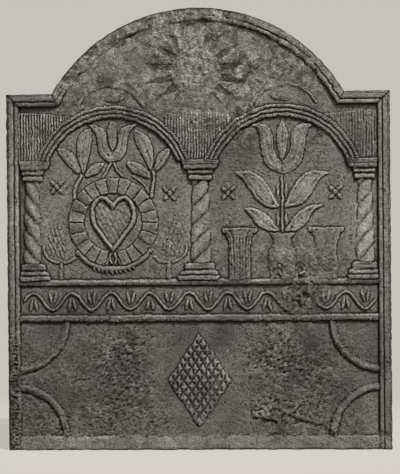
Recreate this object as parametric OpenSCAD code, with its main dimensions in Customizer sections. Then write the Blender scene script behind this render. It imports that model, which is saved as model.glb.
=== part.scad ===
// Cast-iron stove plate with an arched head and low-relief folk ornament.
// It stands on its foot, with the ornament towards -Y. All sizes are in millimetres.

/* [Plate] */
// Width over the side rims
plate_w = 711; // [690:1:740]
// Height of the shoulders above the foot
shoulder_h = 662; // [655:1:685]
// Width of the arched head where it leaves the shoulders
head_w = 543; // [520:1:570]
// Rise of the head above the shoulders
head_rise = 157.5; // [152:0.5:180]
// Thickness of the slab behind the relief
slab_t = 13; // [8:0.5:20]

/* [Rims] */
// Width of the rim round the sides, shoulders and head
rim_w = 22; // [19:0.5:24]
// Width of the flat outer band of the rim
rim_band_w = 13.5; // [11:0.5:14.5]
// Height of the rim above the slab
rim_relief = 10; // [7:0.5:12]
// Height of the rim's inner bead above the slab
rim_bead_relief = 8; // [6:0.5:10]
// Height of the flat rail along the foot
foot_rail_h = 26; // [18:1:32]
// Relief of the foot rail
foot_rail_relief = 7; // [4:0.5:9]

/* [Band] */
// Height of the band's lower edge above the foot
band_h = 240; // [232:1:250]
// Height of the band's lower rail
band_lower_rail_h = 10; // [8:0.5:12]
// Height of the field between the two rails
band_field_h = 53; // [48:1:58]
// Height of the band's upper rail
band_upper_rail_h = 13; // [11:0.5:15]
// Relief of the band's rails
band_rail_relief = 7; // [5:0.5:9]
// Width of the vine's stem
vine_w = 5; // [3.5:0.5:7]
// Relief of the vine
vine_relief = 4; // [2:0.5:6]
// Number of half waves in the vine
vine_waves = 18; // [10:2:22]

/* [Columns] */
// Distance from a side rim to the axis of the side column beside it
column_inset = 25; // [24:0.5:30]
// Offset of the middle column from the middle of the plate
middle_column_x = 4.5; // [-5:0.5:8]
// Width of a side column's shaft at the top
side_shaft_w = 25; // [22:0.5:28]
// Width of the middle column's shaft at the top
middle_shaft_w = 31; // [27:0.5:35]
// Extra width of a shaft at its foot
shaft_taper = 8; // [4:0.5:10]
// Height of a shaft
shaft_h = 155; // [145:1:165]
// Relief of a shaft
shaft_relief = 9; // [6:0.5:11]
// Rise between two grooves of the twist
twist_rise = 34; // [24:1:50]
// Depth of the twist's grooves as a share of the relief
twist_depth = 0.55; // [0.3:0.05:0.65]
// Height of a column's base
base_h = 30; // [24:1:36]
// Height of a capital
capital_h = 36; // [30:1:42]
// Relief of the capitals and bases
capital_relief = 9.5; // [7:0.5:11]

/* [Arches] */
// Clear distance between the two arches
arch_gap = 11; // [8:0.5:18]
// Width of an arch's moulding
arch_w = 21.5; // [18:0.5:25]
// Relief of an arch's outer bead
arch_relief = 8; // [6:0.5:10]
// Height of the capitals' tops above the centres of the arches
arch_drop = 49.5; // [40:0.5:58]
// Offset of the left bay's ornament from the middle of its bay
left_bay_shift = -6; // [-8:0.5:0]
// Distance between two reeds
reed_pitch = 5.2; // [4:0.2:8]
// Relief of the reeds
reed_relief = 3; // [2:0.5:5]

/* [Left bay] */
// Relief of petals and leaves
leaf_relief = 5; // [3:0.5:7]
// Relief of stems and branches
stem_relief = 4; // [2:0.5:6]
// Outer radius of the wreath
wreath_r = 82; // [76:1:84]
// Width of the wreath's ring
wreath_w = 27; // [18:1:28]
// Number of blocks in the wreath
wreath_blocks = 22; // [14:1:28]
// Relief of the wreath's blocks
wreath_relief = 4; // [2:0.5:6]
// Width of the moulding under the wreath
wreath_rim_w = 8; // [5:0.5:9]
// Relief of the heart
heart_relief = 6; // [4:0.5:8]

/* [Right bay] */
// Height of the vase
vase_h = 85; // [72:1:87]
// Relief of the vase
vase_relief = 6; // [4:0.5:8]
// Relief of the baskets
basket_relief = 6; // [4:0.5:8]
// Width of a basket at its lip
basket_w = 66; // [56:1:68]
// Height of a basket
basket_h = 94; // [80:1:96]

/* [Head] */
// Radius of the sun's disc
sun_r = 44; // [36:1:46]
// Relief of the sun's disc
sun_relief = 5; // [3:0.5:7]
// Number of rays
ray_count = 20; // [12:1:24]
// Length of a ray
ray_l = 40; // [30:1:42]
// Relief of the rays
ray_relief = 3.5; // [2:0.5:5]

/* [Lower panel] */
// Outer radius of the upper corner arcs
upper_corner_r = 100; // [85:1:106]
// Outer radius of the lower corner arcs
lower_corner_r = 99; // [85:1:101]
// Radius of a corner arc's round section
corner_bead_r = 7; // [5:0.5:9]
// Relief of the corner arcs
corner_relief = 6; // [4:0.5:8]
// Width of the lozenge
lozenge_w = 119; // [90:1:140]
// Height of the lozenge
lozenge_h = 176; // [140:1:184]
// Studs along each side of the lozenge
stud_count = 8; // [5:1:10]
// Relief of the studs
stud_relief = 6; // [3:0.5:8]

/* [Hidden] */
$fn = 64;

IRON = [0.36, 0.35, 0.33];
WORN_IRON = [0.47, 0.46, 0.43];

// Outline of the plate
half_w = plate_w / 2;
head_foot = head_w / 2;
head_r = (head_foot * head_foot + head_rise * head_rise) / (2 * head_rise);
head_top = shoulder_h + head_rise;
head_centre = head_top - head_r;
rim_inner = half_w - rim_w;
shoulder_inner = shoulder_h - rim_w;
head_inner_r = head_r - rim_w;
head_inner_foot = sqrt(pow(head_inner_r, 2) - pow(shoulder_inner - head_centre, 2));
depth = slab_t + max(rim_relief, capital_relief, shaft_relief);
face_y = depth / 2 - slab_t;

// Heights of the band, columns and arches
field_h = band_h + band_lower_rail_h;
band_top = field_h + band_field_h + band_upper_rail_h;
shaft_foot = band_top + base_h;
capital_foot = shaft_foot + shaft_h;
capital_top = capital_foot + capital_h;
arch_centre = capital_top - arch_drop;

// Half widths of the shafts at the foot, and reach of the bases and capitals from the axes
side_half = (side_shaft_w + shaft_taper) / 2;
middle_half = (middle_shaft_w + shaft_taper) / 2;
outer_reach = column_inset - 0.5;
inner_reach = side_half + 17;
middle_reach = middle_half + 15;

// Places and radii of the two bays
side_column_x = rim_inner - column_inset;
left_bay_x = (middle_column_x - side_column_x) / 2 + left_bay_shift;
right_bay_x = (middle_column_x + side_column_x) / 2 - 1;
arch_r = (right_bay_x - left_bay_x - arch_gap) / 2;
arch_inner_r = arch_r - arch_w;
arch_top = arch_centre + arch_r;
wreath_centre = band_top + wreath_r + 25;

// The ornament in a bay is drawn for an arch of this radius, and follows the arch
DRAWN_ARCH_R = 130;
bay_scale = arch_inner_r / DRAWN_ARCH_R;

// Sun, set a little left of the middle
SUN_X = -2;
sun_centre = arch_top + 0.38 * (head_top - rim_w - arch_top);

// Heights of a smooth ridge and of a leaf with a sunk midrib, across the width from 0 to 1
RIDGE = [[0, 0], [0.1, 0.55], [0.3, 0.92], [0.5, 1], [0.7, 0.92], [0.9, 0.55], [1, 0]];
LEAF = [[0, 0], [0.08, 0.6], [0.3, 1], [0.5, 0.7], [0.7, 1], [0.92, 0.6], [1, 0]];
FINE = [[0, 0], [0.2, 0.75], [0.5, 1], [0.8, 0.75], [1, 0]];

// Point at t, from 0 to 1, on a smooth curve through the points p
function on_curve(p, t) =
    let (
        s = t * (len(p) - 1),
        i = min(floor(s), len(p) - 2),
        f = s - i,
        before = p[max(i - 1, 0)],
        after = p[min(i + 2, len(p) - 1)]
    )
    0.5 * (2 * p[i] + f * (p[i + 1] - before)
        + f * f * (2 * before - 5 * p[i] + 4 * p[i + 1] - after)
        + f * f * f * (3 * p[i] - before - 3 * p[i + 1] + after));

function heading(p, t) =
    let (d = on_curve(p, min(t + 0.01, 1)) - on_curve(p, max(t - 0.01, 0)))
    d / norm(d);

function rise_and_fall(t) = 0.45 + 0.55 * pow(sin(180 * t), 0.6);

// One row of a relief, from the edge point a to the edge point b
function row(a, b, section, relief) =
    [for (s = section) [a[0] + (b[0] - a[0]) * s[0], a[1] + (b[1] - a[1]) * s[0], relief * s[1]]];

function flip(p) = [for (q = p) [-q[0], q[1]]];

function scaled(p, k) = [for (q = p) k * q];

// Closed solid through rows that all start and end on the slab
module relief_through(rows, loop = false) {
    n = len(rows);
    m = len(rows[0]);
    last = loop ? n - 1 : n - 2;
    top = [
        for (i = [0:last], j = [0:m - 2])
            let (k = (i + 1) % n)
                each [
                    [i * m + j, k * m + j, k * m + j + 1],
                    [i * m + j, k * m + j + 1, i * m + j + 1]
                ]
    ];
    under = [
        for (i = [0:last])
            let (k = (i + 1) % n)
                each [
                    [i * m, i * m + m - 1, k * m + m - 1],
                    [i * m, k * m + m - 1, k * m]
                ]
    ];
    ends = loop ? [] : [[for (j = [0:m - 1]) j], [for (j = [m - 1:-1:0]) (n - 1) * m + j]];
    polyhedron(points = [for (r = rows) each r], faces = concat(top, under, ends));
}

// Leaf or petal between two edges, drawn from its base to its tip with left on the left hand
module leaf(left, right, relief, steps = 9, section = LEAF) {
    relief_through([
        for (i = [0:steps])
            let (t = i / steps)
                row(on_curve(left, t), on_curve(right, t), section, relief * rise_and_fall(t))
    ]);
}

// Rounded bar along a curve, with a width at each end
module branch(path, w_start, w_end, relief, steps = 8, section = FINE) {
    relief_through([
        for (i = [0:steps])
            let (
                t = i / steps,
                p = on_curve(path, t),
                d = heading(path, t),
                side = [-d[1], d[0]] * (w_start + (w_end - w_start) * t) / 2
            )
                row(p + side, p - side, section, relief)
    ]);
}

// Half-turned piece that rises from a foot line: each course is [height, left, right, relief]
module half_turned(courses, squareness = 2, sides = 8, flutes = 0, flute_depth = 0) {
    relief_through([
        for (c = courses)
            [
                for (j = [0:sides])
                    let (
                        a = 180 * j / sides,
                        x = -sign(cos(a)) * pow(abs(cos(a)), 2 / squareness),
                        ripple = 1 - flute_depth * (1 - cos(360 * flutes * j / sides)) / 2,
                        z = j == 0 || j == sides ? 0 : pow(sin(a), 2 / squareness) * ripple
                    )
                        [x < 0 ? x * c[1] : x * c[2], c[0], c[3] * z]
            ]
    ]);
}

// Puts drawn relief, with x across, y up and z outward, on the face of the slab
module on_face(x = 0, y = 0) {
    translate([0, face_y, 0])
        rotate([90, 0, 0])
            translate([x, y, 0])
                children();
}

// Runs a profile, drawn as [across, outward], upward
module run_up(length) {
    translate([0, length, 0])
        rotate([90, 0, 0])
            linear_extrude(length)
                children();
}

// Runs a profile, drawn as [upward, outward], to the right
module run_right(length) {
    rotate([90, 0, 90])
        linear_extrude(length)
            children();
}

// Flat slab

module plate_outline() {
    blend = 1;
    translate([-half_w, 0])
        square([plate_w, shoulder_h]);
    intersection() {
        translate([0, head_centre])
            circle(head_r, $fn = 180);
        translate([-head_foot, shoulder_h - blend])
            square([head_w, head_rise + 2 * blend]);
    }
}

// Field inside the rims, which trims what runs up to them
module field_outline() {
    blend = 1;
    translate([-rim_inner, 0])
        square([2 * rim_inner, shoulder_inner]);
    intersection() {
        translate([0, head_centre])
            circle(head_inner_r, $fn = 180);
        translate([-head_inner_foot, shoulder_inner - blend])
            square([2 * head_inner_foot, head_rise + 2 * blend]);
    }
}

module back_plate() {
    color(IRON)
        translate([0, face_y, 0])
            rotate([90, 0, 0])
                translate([0, 0, -slab_t])
                    linear_extrude(slab_t)
                        plate_outline();
}

// Rims

// Section of the rim from its outer edge: a flat band with a scored line, a groove and a bead
module rim_section() {
    edge = 1;
    score = 1.5;
    score_place = rim_band_w * 0.36;
    groove_relief = 0.45 * rim_bead_relief;
    bead_r = (rim_w - rim_band_w) / 2 - 0.5;
    polygon([
        [0, 0],
        [0, rim_relief - edge],
        [edge, rim_relief],
        [score_place - score, rim_relief],
        [score_place, rim_relief - score],
        [score_place + score, rim_relief],
        [rim_band_w - edge, rim_relief],
        [rim_band_w, rim_relief - edge],
        [rim_band_w, 0]
    ]);
    intersection() {
        union() {
            translate([rim_band_w / 2, 0])
                square([rim_w - rim_band_w / 2 - edge, groove_relief]);
            translate([rim_w - bead_r + 0.3, rim_bead_relief - bead_r])
                circle(bead_r);
        }
        square([rim_w, rim_relief]);
    }
}

module side_rim() {
    intersection() {
        translate([half_w, 0])
            mirror([1, 0, 0])
                run_up(shoulder_h)
                    rim_section();
        linear_extrude(rim_relief)
            polygon([
                [half_w, 0],
                [half_w, shoulder_h],
                [rim_inner, shoulder_inner],
                [rim_inner, 0]
            ]);
    }
}

module shoulder_rim() {
    intersection() {
        translate([head_inner_foot, shoulder_h, 0])
            mirror([0, 1, 0])
                run_right(half_w - head_inner_foot)
                    rim_section();
        linear_extrude(rim_relief)
            polygon([
                [head_foot, shoulder_h],
                [half_w, shoulder_h],
                [rim_inner, shoulder_inner],
                [head_inner_foot, shoulder_inner]
            ]);
    }
}

module left_rim() {
    color(WORN_IRON)
        on_face()
            mirror([1, 0, 0])
                side_rim();
}

module right_rim() {
    color(WORN_IRON)
        on_face()
            side_rim();
}

module left_shoulder_rim() {
    color(WORN_IRON)
        on_face()
            mirror([1, 0, 0])
                shoulder_rim();
}

module right_shoulder_rim() {
    color(WORN_IRON)
        on_face()
            shoulder_rim();
}

module head_rim() {
    color(WORN_IRON)
        on_face()
            intersection() {
                translate([0, head_centre, 0])
                    rotate_extrude(angle = 180, $fn = 180)
                        translate([head_r, 0])
                            mirror([1, 0])
                                rim_section();
                linear_extrude(rim_relief)
                    polygon([
                        [-head_foot, shoulder_h],
                        [-head_inner_foot, shoulder_inner],
                        [head_inner_foot, shoulder_inner],
                        [head_foot, shoulder_h],
                        [head_foot, head_top + 1],
                        [-head_foot, head_top + 1]
                    ]);
            }
}

module foot_rail() {
    edge = 1.5;
    color(WORN_IRON)
        on_face(-rim_inner)
            run_right(2 * rim_inner)
                polygon([
                    [0, 0],
                    [0, foot_rail_relief],
                    [foot_rail_h - 2 * edge, foot_rail_relief],
                    [foot_rail_h, foot_rail_relief - edge],
                    [foot_rail_h, 0]
                ]);
}

// Band

// Rail with two beads over a flat ground
module rail_section(height) {
    bead_r = height * 0.3;
    intersection() {
        union() {
            square([height, band_rail_relief * 0.6]);
            translate([bead_r * 0.95, band_rail_relief - bead_r])
                circle(bead_r);
            translate([height - bead_r * 0.95, band_rail_relief - bead_r])
                circle(bead_r);
        }
        square([height, band_rail_relief]);
    }
}

module band_lower_rail() {
    color(WORN_IRON)
        on_face(-rim_inner, band_h)
            run_right(2 * rim_inner)
                rail_section(band_lower_rail_h);
}

module band_upper_rail() {
    color(WORN_IRON)
        on_face(-rim_inner, field_h + band_field_h)
            run_right(2 * rim_inner)
                rail_section(band_upper_rail_h);
}

// Running vine: a waving stem with a pair of leaves in each hollow
module band_vine() {
    end_gap = 8;
    wave_l = 2 * (rim_inner - end_gap) / vine_waves;
    swing = band_field_h * 0.3;
    steps_a_wave = 6;
    leaf_l = band_field_h * 0.42;
    leaf_half_w = 3.6;
    color(WORN_IRON)
        on_face(0, field_h + band_field_h / 2) {
            relief_through([
                for (i = [0:vine_waves * steps_a_wave])
                    let (
                        x = end_gap - rim_inner + i * wave_l / steps_a_wave,
                        a = 180 * i / steps_a_wave,
                        slope = atan(swing * cos(a) * PI / wave_l),
                        side = [-sin(slope), cos(slope)] * vine_w / 2,
                        p = [x, swing * sin(a)]
                    )
                        row(p + side, p - side, FINE, vine_relief)
            ]);
            for (i = [0:vine_waves - 1], lean = [-1, 1]) {
                up = i % 2 == 0 ? -1 : 1;
                translate([end_gap - rim_inner + (i + 0.5) * wave_l + 2.2 * lean, up * -4, 0])
                    rotate([0, 0, up * 90 - up * lean * 11])
                        leaf(
                            [[0, 0.7], [leaf_l * 0.5, leaf_half_w], [leaf_l, 0.7]],
                            [[0, -0.7], [leaf_l * 0.5, -leaf_half_w], [leaf_l, -0.7]],
                            vine_relief, 4, FINE
                        );
            }
        }
}

// Columns

// Half-round shaft with a rope twist. turn is 1 for grooves that rise to the right, -1 to the left
module twisted_shaft(top_w, turn) {
    steps_a_groove = 7;
    steps = round(shaft_h / twist_rise * steps_a_groove);
    sides = 9;
    relief_through([
        for (i = [0:steps])
            let (
                y = shaft_h * i / steps,
                w = top_w + shaft_taper * (1 - y / shaft_h)
            )
                [
                    for (j = [0:sides])
                        let (
                            a = 180 * j / sides,
                            phase = y / twist_rise - turn * (1 - cos(a)) / 2,
                            strand = abs(sin(180 * phase)),
                            swell = 1 - twist_depth * pow(1 - strand, 1.6),
                            edge = 1 - twist_depth * 0.2 * (1 - strand)
                        )
                            [
                                -cos(a) * w / 2 * edge,
                                y,
                                j == 0 || j == sides ? 0 : shaft_relief * sin(a) * swell
                            ]
                ]
    ]);
}

// Courses of a base, from the foot up, for the given reach to the left and right
function base_courses(left, right, shaft_half) = [
    for (c = [
        [0, 1, 0.95], [0.2, 1, 1], [0.24, 0.85, 0.65], [0.32, 0.8, 0.65], [0.36, 0.85, 0.95],
        [0.5, 0.75, 0.95], [0.54, 0.5, 0.6], [0.66, 0.4, 0.6], [0.7, 0.5, 0.9],
        [0.96, 0.45, 0.9], [1, 0.2, 0.75]
    ])
        [
            c[0] * base_h,
            shaft_half + (left - shaft_half) * c[1],
            shaft_half + (right - shaft_half) * c[1],
            c[2] * capital_relief
        ]
];

// Courses of a capital: neck ring, hollow, fillet, hollow and a double abacus
function capital_courses(left, right, shaft_half) = [
    for (c = [
        [0, 0.02, 0.55], [0.03, 0.16, 0.85], [0.18, 0.16, 0.85], [0.21, 0.02, 0.45],
        [0.31, 0.04, 0.45], [0.34, 0.24, 0.8], [0.42, 0.26, 0.8], [0.45, 0.2, 0.5],
        [0.57, 0.4, 0.5], [0.6, 0.75, 0.9], [0.76, 0.86, 0.92], [0.79, 0.82, 0.7],
        [0.82, 1, 1], [1, 1, 1]
    ])
        [
            c[0] * capital_h,
            shaft_half + (left - shaft_half) * c[1],
            shaft_half + (right - shaft_half) * c[1],
            c[2] * capital_relief
        ]
];

module left_column() {
    color(WORN_IRON)
        on_face(-side_column_x, shaft_foot)
            twisted_shaft(side_shaft_w, -1);
}

module middle_column() {
    color(WORN_IRON)
        on_face(middle_column_x, shaft_foot)
            twisted_shaft(middle_shaft_w, 1);
}

module right_column() {
    color(WORN_IRON)
        on_face(side_column_x, shaft_foot)
            twisted_shaft(side_shaft_w, 1);
}

module left_base() {
    color(WORN_IRON)
        on_face(-side_column_x, band_top)
            half_turned(base_courses(outer_reach, inner_reach, side_half), 6);
}

module middle_base() {
    color(WORN_IRON)
        on_face(middle_column_x, band_top)
            half_turned(base_courses(middle_reach + 8, middle_reach, middle_half), 6);
}

module right_base() {
    color(WORN_IRON)
        on_face(side_column_x, band_top)
            half_turned(base_courses(inner_reach, outer_reach, side_half), 6);
}

module left_capital() {
    color(WORN_IRON)
        on_face(-side_column_x, capital_foot)
            half_turned(capital_courses(outer_reach, inner_reach, side_half), 6);
}

module middle_capital() {
    color(WORN_IRON)
        on_face(middle_column_x, capital_foot)
            half_turned(capital_courses(middle_reach, middle_reach, middle_half), 6);
}

module right_capital() {
    color(WORN_IRON)
        on_face(side_column_x, capital_foot)
            half_turned(capital_courses(inner_reach, outer_reach, side_half), 6);
}

// Arches

// Section of an arch from its inner edge: an inner bead, a middle bead and a proud outer bead
module arch_section() {
    ground = arch_relief * 0.4;
    bead = arch_w * 0.14;
    intersection() {
        union() {
            square([arch_w, ground]);
            translate([bead * 0.9, arch_relief * 0.85 - bead])
                circle(bead);
            translate([arch_w * 0.5, arch_relief * 0.8 - bead])
                circle(bead);
            translate([arch_w - bead * 0.9, arch_relief - bead])
                circle(bead);
        }
        square([arch_w, arch_relief]);
    }
}

module arch(x) {
    on_face()
        intersection() {
            translate([x, arch_centre, 0])
                rotate_extrude(angle = 180, $fn = 128)
                    translate([arch_inner_r, 0])
                        arch_section();
            translate([x - arch_r, capital_top, 0])
                cube([2 * arch_r, arch_r, arch_relief]);
            linear_extrude(arch_relief + 1)
                field_outline();
        }
}

module left_arch() {
    color(WORN_IRON)
        arch(left_bay_x);
}

module right_arch() {
    color(WORN_IRON)
        arch(right_bay_x);
}

// Reeds fill the wedges between the arches and the rims

module reeds(x_from, x_to, outline, arches) {
    count = ceil((x_to - x_from) / reed_pitch);
    ground = reed_relief * 0.4;
    ripple = [
        for (i = [0:count - 1], s = [[0, 0], [0.25, 0.8], [0.5, 1], [0.75, 0.8]])
            [(i + s[0]) * reed_pitch, ground + (reed_relief - ground) * s[1]]
    ];
    end_x = count * reed_pitch;
    intersection() {
        translate([x_from, capital_top, 0])
            run_up(arch_top - capital_top)
                polygon(concat([[0, 0]], ripple, [[end_x, ground], [end_x, 0]]));
        linear_extrude(reed_relief)
            difference() {
                intersection() {
                    polygon(outline);
                    field_outline();
                }
                for (x = arches)
                    translate([x, arch_centre])
                        circle(arch_r, $fn = 180);
            }
    }
}

// Fall of the reeds' tops below the tops of the arches, and from the middle of a wedge to its ends
REED_DROP = 12;
REED_SLOPE = 8;

module side_reeds(bay_x) {
    inner = bay_x + arch_r * 0.48;
    steps = 6;
    reeds(
        inner, rim_inner,
        concat(
            [[inner, capital_top], [rim_inner, capital_top]],
            [
                for (i = [0:steps])
                    let (t = i / steps)
                        [
                            rim_inner + (inner - rim_inner) * t,
                            arch_top - REED_DROP - REED_SLOPE * t * t
                        ]
            ]
        ),
        [bay_x]
    );
}

module left_reeds() {
    color(IRON)
        on_face()
            mirror([1, 0, 0])
                side_reeds(-left_bay_x);
}

module right_reeds() {
    color(IRON)
        on_face()
            side_reeds(right_bay_x);
}

module middle_reeds() {
    left = left_bay_x + arch_r * 0.65;
    right = right_bay_x - arch_r * 0.62;
    steps = 8;
    color(IRON)
        on_face()
            reeds(
                left, right,
                concat(
                    [[left, capital_top], [right, capital_top]],
                    [
                        for (i = [0:steps])
                            let (t = i / steps)
                                [
                                    right + (left - right) * t,
                                    arch_top - REED_DROP - REED_SLOPE * pow(2 * t - 1, 2)
                                ]
                    ]
                ),
                [left_bay_x, right_bay_x]
            );
}

// Head

module sun_disc() {
    boss_r = 6;
    boss_place = [14, -26];
    boss_relief = sun_relief + 1.5;
    color(WORN_IRON)
        on_face(SUN_X, sun_centre) {
            rotate_extrude($fn = 96)
                polygon([
                    [0, 0],
                    [0, sun_relief * 0.6],
                    [sun_r * 0.5, sun_relief * 0.6],
                    [sun_r * 0.65, sun_relief * 0.9],
                    [sun_r * 0.85, sun_relief],
                    [sun_r * 0.96, sun_relief * 0.75],
                    [sun_r, 0]
                ]);
            translate([boss_place[0], boss_place[1], 0])
                difference() {
                    cylinder(r = boss_r, h = boss_relief);
                    translate([0, 0, sun_relief])
                        cylinder(r = boss_r * 0.55, h = boss_relief);
                }
        }
}

// Distance from the sun's centre to the head's rim in the direction a
function rim_distance(a) =
    let (
        from = [SUN_X, sun_centre - head_centre],
        along = from[0] * cos(a) + from[1] * sin(a)
    )
    sqrt(along * along + head_inner_r * head_inner_r - from * from) - along;

RAY_GAP = 6;

// The lower rays stop short of the reeds, and the others of the rim
function ray_length(a) =
    let (reed_room = (sun_centre - arch_top + 4) / max(-sin(a), 0.01) - sun_r)
    min(ray_l, reed_room, rim_distance(a) - sun_r - RAY_GAP);

module sun_rays() {
    gap = 0.5;
    color(WORN_IRON)
        on_face(SUN_X, sun_centre)
            for (i = [0:ray_count - 1]) {
                a = 360 * (i + 0.5) / ray_count;
                l = ray_length(a);
                w = PI * sun_r / ray_count;
                rotate([0, 0, a])
                    translate([sun_r + gap, 0, 0])
                        leaf(
                            [[0, w * 0.75], [l * 0.55, w], [l, 2]],
                            [[0, -w * 0.75], [l * 0.55, -w], [l, -2]],
                            ray_relief, 5, FINE
                        );
            }
}

// The sprays are drawn for a head of this inner half width, radius, centre and arch top
DRAWN_HEAD_FOOT = 258.4;
DRAWN_HEAD_R = 290.8;
DRAWN_HEAD_CENTRE = -132.1;

// Height of the head's field above the arches, at x from the middle
function head_room(x, r, centre) = centre + sqrt(r * r - x * x);

// Points of a spray, fitted to the head's width and to its field's height above the arches
function in_head(p) = [
    for (q = p)
        let (
            x = q[0] * head_inner_foot / DRAWN_HEAD_FOOT,
            drawn = head_room(q[0], DRAWN_HEAD_R, DRAWN_HEAD_CENTRE)
        )
        [x, q[1] * head_room(x, head_inner_r, head_centre - arch_top) / drawn]
];

HEAD_RELIEF = 3.5;

module head_leaf(left, right) {
    leaf(in_head(left), in_head(right), HEAD_RELIEF, 6);
}

// Worn scroll with leaves beside the sun
module head_spray() {
    scroll = [[98, -2], [122, 26], [160, 38], [198, 28], [222, 2]];
    branch(in_head(scroll), 7, 5, HEAD_RELIEF, 12);
    head_leaf([[121, 38], [103, 60], [108, 84]], [[131, 42], [130, 66], [112, 86]]);
    head_leaf([[146, 47], [134, 72], [146, 96]], [[156, 48], [162, 72], [149, 97]]);
    head_leaf([[172, 46], [176, 66], [193, 80]], [[181, 43], [200, 60], [196, 79]]);
    head_leaf([[137, 23], [148, 24], [172, 14]], [[135, 17], [148, 7], [171, 9]]);
}

module left_head_spray() {
    color(IRON)
        on_face(0, arch_top)
            mirror([1, 0, 0])
                head_spray();
}

module right_head_spray() {
    color(IRON)
        on_face(0, arch_top)
            head_spray();
}

// Flowers: points are drawn from the centre of an arch of radius DRAWN_ARCH_R, above a stand.
// They are fitted to the arch's width, and in height between the stand and the arch.

module in_left_bay() {
    $drawn_stand = 17.5;
    $stand = wreath_centre + wreath_r - arch_centre;
    on_face(left_bay_x, arch_centre)
        children();
}

module in_right_bay() {
    $drawn_stand = -86.5;
    $stand = band_top + vase_h - arch_centre;
    on_face(right_bay_x, arch_centre)
        children();
}

function in_bay(p) =
    let (rise_scale = (arch_inner_r - $stand) / (DRAWN_ARCH_R - $drawn_stand))
    [for (q = p) [q[0] * bay_scale, $stand + (q[1] - $drawn_stand) * rise_scale]];

module bay_leaf(left, right, relief = leaf_relief, steps = 9, section = LEAF) {
    leaf(in_bay(left), in_bay(right), relief, steps, section);
}

module bay_branch(path, w_start, w_end, relief = stem_relief, steps = 8) {
    branch(in_bay(path), w_start, w_end, relief, steps);
}

TULIP_OUTER = [[-0.5, 47], [-13, 51], [-25, 65], [-28, 85], [-33, 104], [-47, 117]];
TULIP_INNER = [[-0.5, 65], [-6, 72], [-10, 84], [-11, 99], [-18, 111], [-46, 119]];

module left_tulip() {
    color(WORN_IRON)
        in_left_bay() {
            bay_leaf(TULIP_OUTER, TULIP_INNER);
            bay_leaf(flip(TULIP_INNER), flip(TULIP_OUTER));
            bay_leaf(
                [[-1, 70], [-6, 80], [-8, 95], [-8, 110], [-5, 121]],
                [[1, 70], [6, 80], [8, 95], [8, 110], [5, 121]],
                leaf_relief * 0.6
            );
            bay_branch([[-2, 45], [-10, 31], [-19, 19]], 4, 3, stem_relief, 4);
            bay_branch([[2, 45], [10, 31], [19, 19]], 4, 3, stem_relief, 4);
        }
}

module left_leaf_spray() {
    color(WORN_IRON)
        in_left_bay() {
            bay_branch([[-71, -20], [-69, 2], [-62, 14], [-58, 23]], 8, 5);
            bay_leaf(
                [[-57, 27], [-63, 45], [-67, 68], [-65, 90], [-56, 103], [-42, 108]],
                [[-53, 27], [-48, 44], [-43, 62], [-39, 82], [-38, 97], [-40, 107]]
            );
            bay_leaf(
                [[-65, 26], [-75, 35], [-86, 46], [-95, 58], [-102, 71]],
                [[-60, 30], [-64, 48], [-74, 63], [-88, 72], [-101, 74]]
            );
            bay_leaf(
                [[-51, 24], [-42, 38], [-29, 46], [-18, 46]],
                [[-49, 20], [-39, 22], [-27, 28], [-17, 43]]
            );
        }
}

module right_leaf_spray() {
    color(WORN_IRON)
        in_left_bay() {
            bay_branch([[71, -20], [75, 0], [77, 16], [75, 30]], 7, 5);
            bay_branch([[67, -10], [60, 3], [49, 13], [37, 21]], 3, 3, stem_relief * 0.7, 5);
            bay_leaf(
                [[70, 34], [62, 48], [52, 66], [43, 84], [40, 103]],
                [[73, 34], [76, 50], [76, 70], [71, 88], [59, 101], [43, 106]]
            );
            bay_leaf(
                [[78, 34], [80, 48], [86, 61], [96, 69], [106, 72]],
                [[82, 31], [92, 38], [100, 49], [106, 60], [108, 70]]
            );
            bay_leaf(
                [[69, 16], [52, 22], [35, 29], [26, 44]],
                [[68, 27], [61, 37], [47, 46], [29, 49]]
            );
        }
}

// Wreath, with a notch at its foot for the heart's pendant

module wreath_ring() {
    groove = 2.5;
    ground = wreath_relief * 0.3;
    inner = wreath_r - wreath_w;
    notch_top = 5 - inner;
    notch_foot = -wreath_r - 8;
    color(IRON)
        on_face(left_bay_x, wreath_centre)
            difference() {
                rotate_extrude($fn = 96)
                    translate([inner, 0])
                        polygon([
                            [0, 0],
                            [0, wreath_relief * 0.8],
                            [1, wreath_relief],
                            [wreath_w - 1, wreath_relief],
                            [wreath_w, wreath_relief * 0.8],
                            [wreath_w, 0]
                        ]);
                for (i = [0:wreath_blocks - 1])
                    rotate([0, 0, 90 + 360 * (i + 0.5) / wreath_blocks])
                        translate([inner - 1, -groove / 2, ground])
                            cube([wreath_w + 2, groove, wreath_relief]);
                translate([0, 0, -1])
                    linear_extrude(wreath_relief + 2)
                        polygon([
                            [-6, notch_top],
                            [6, notch_top],
                            [20, notch_foot],
                            [-20, notch_foot]
                        ]);
            }
}

// Moulding that carries the wreath's lower part, with saw teeth beneath
module wreath_rim() {
    gap = 0.5;
    sweep = 104;
    tooth_count = 10;
    tooth_pitch = 5.2;
    tooth_half = 3;
    tooth_l = 7;
    tooth_lean = 3;
    r = wreath_r + gap;
    color(WORN_IRON)
        on_face(left_bay_x, wreath_centre) {
            rotate([0, 0, 270 - sweep / 2])
                rotate_extrude(angle = sweep, $fn = 96)
                    translate([r, 0])
                        intersection() {
                            translate([wreath_rim_w / 2, 0.5])
                                circle(wreath_rim_w / 2 + 0.1);
                            square([wreath_rim_w, wreath_rim_w]);
                        }
            for (i = [0:tooth_count - 1])
                rotate([0, 0, 270 + tooth_pitch * (i - (tooth_count - 1) / 2)])
                    translate([r + wreath_rim_w - 1, 0, 0])
                        linear_extrude(wreath_relief * 0.8)
                            polygon([[0, -tooth_half], [0, tooth_half], [tooth_l, tooth_lean]]);
        }
}

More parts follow.
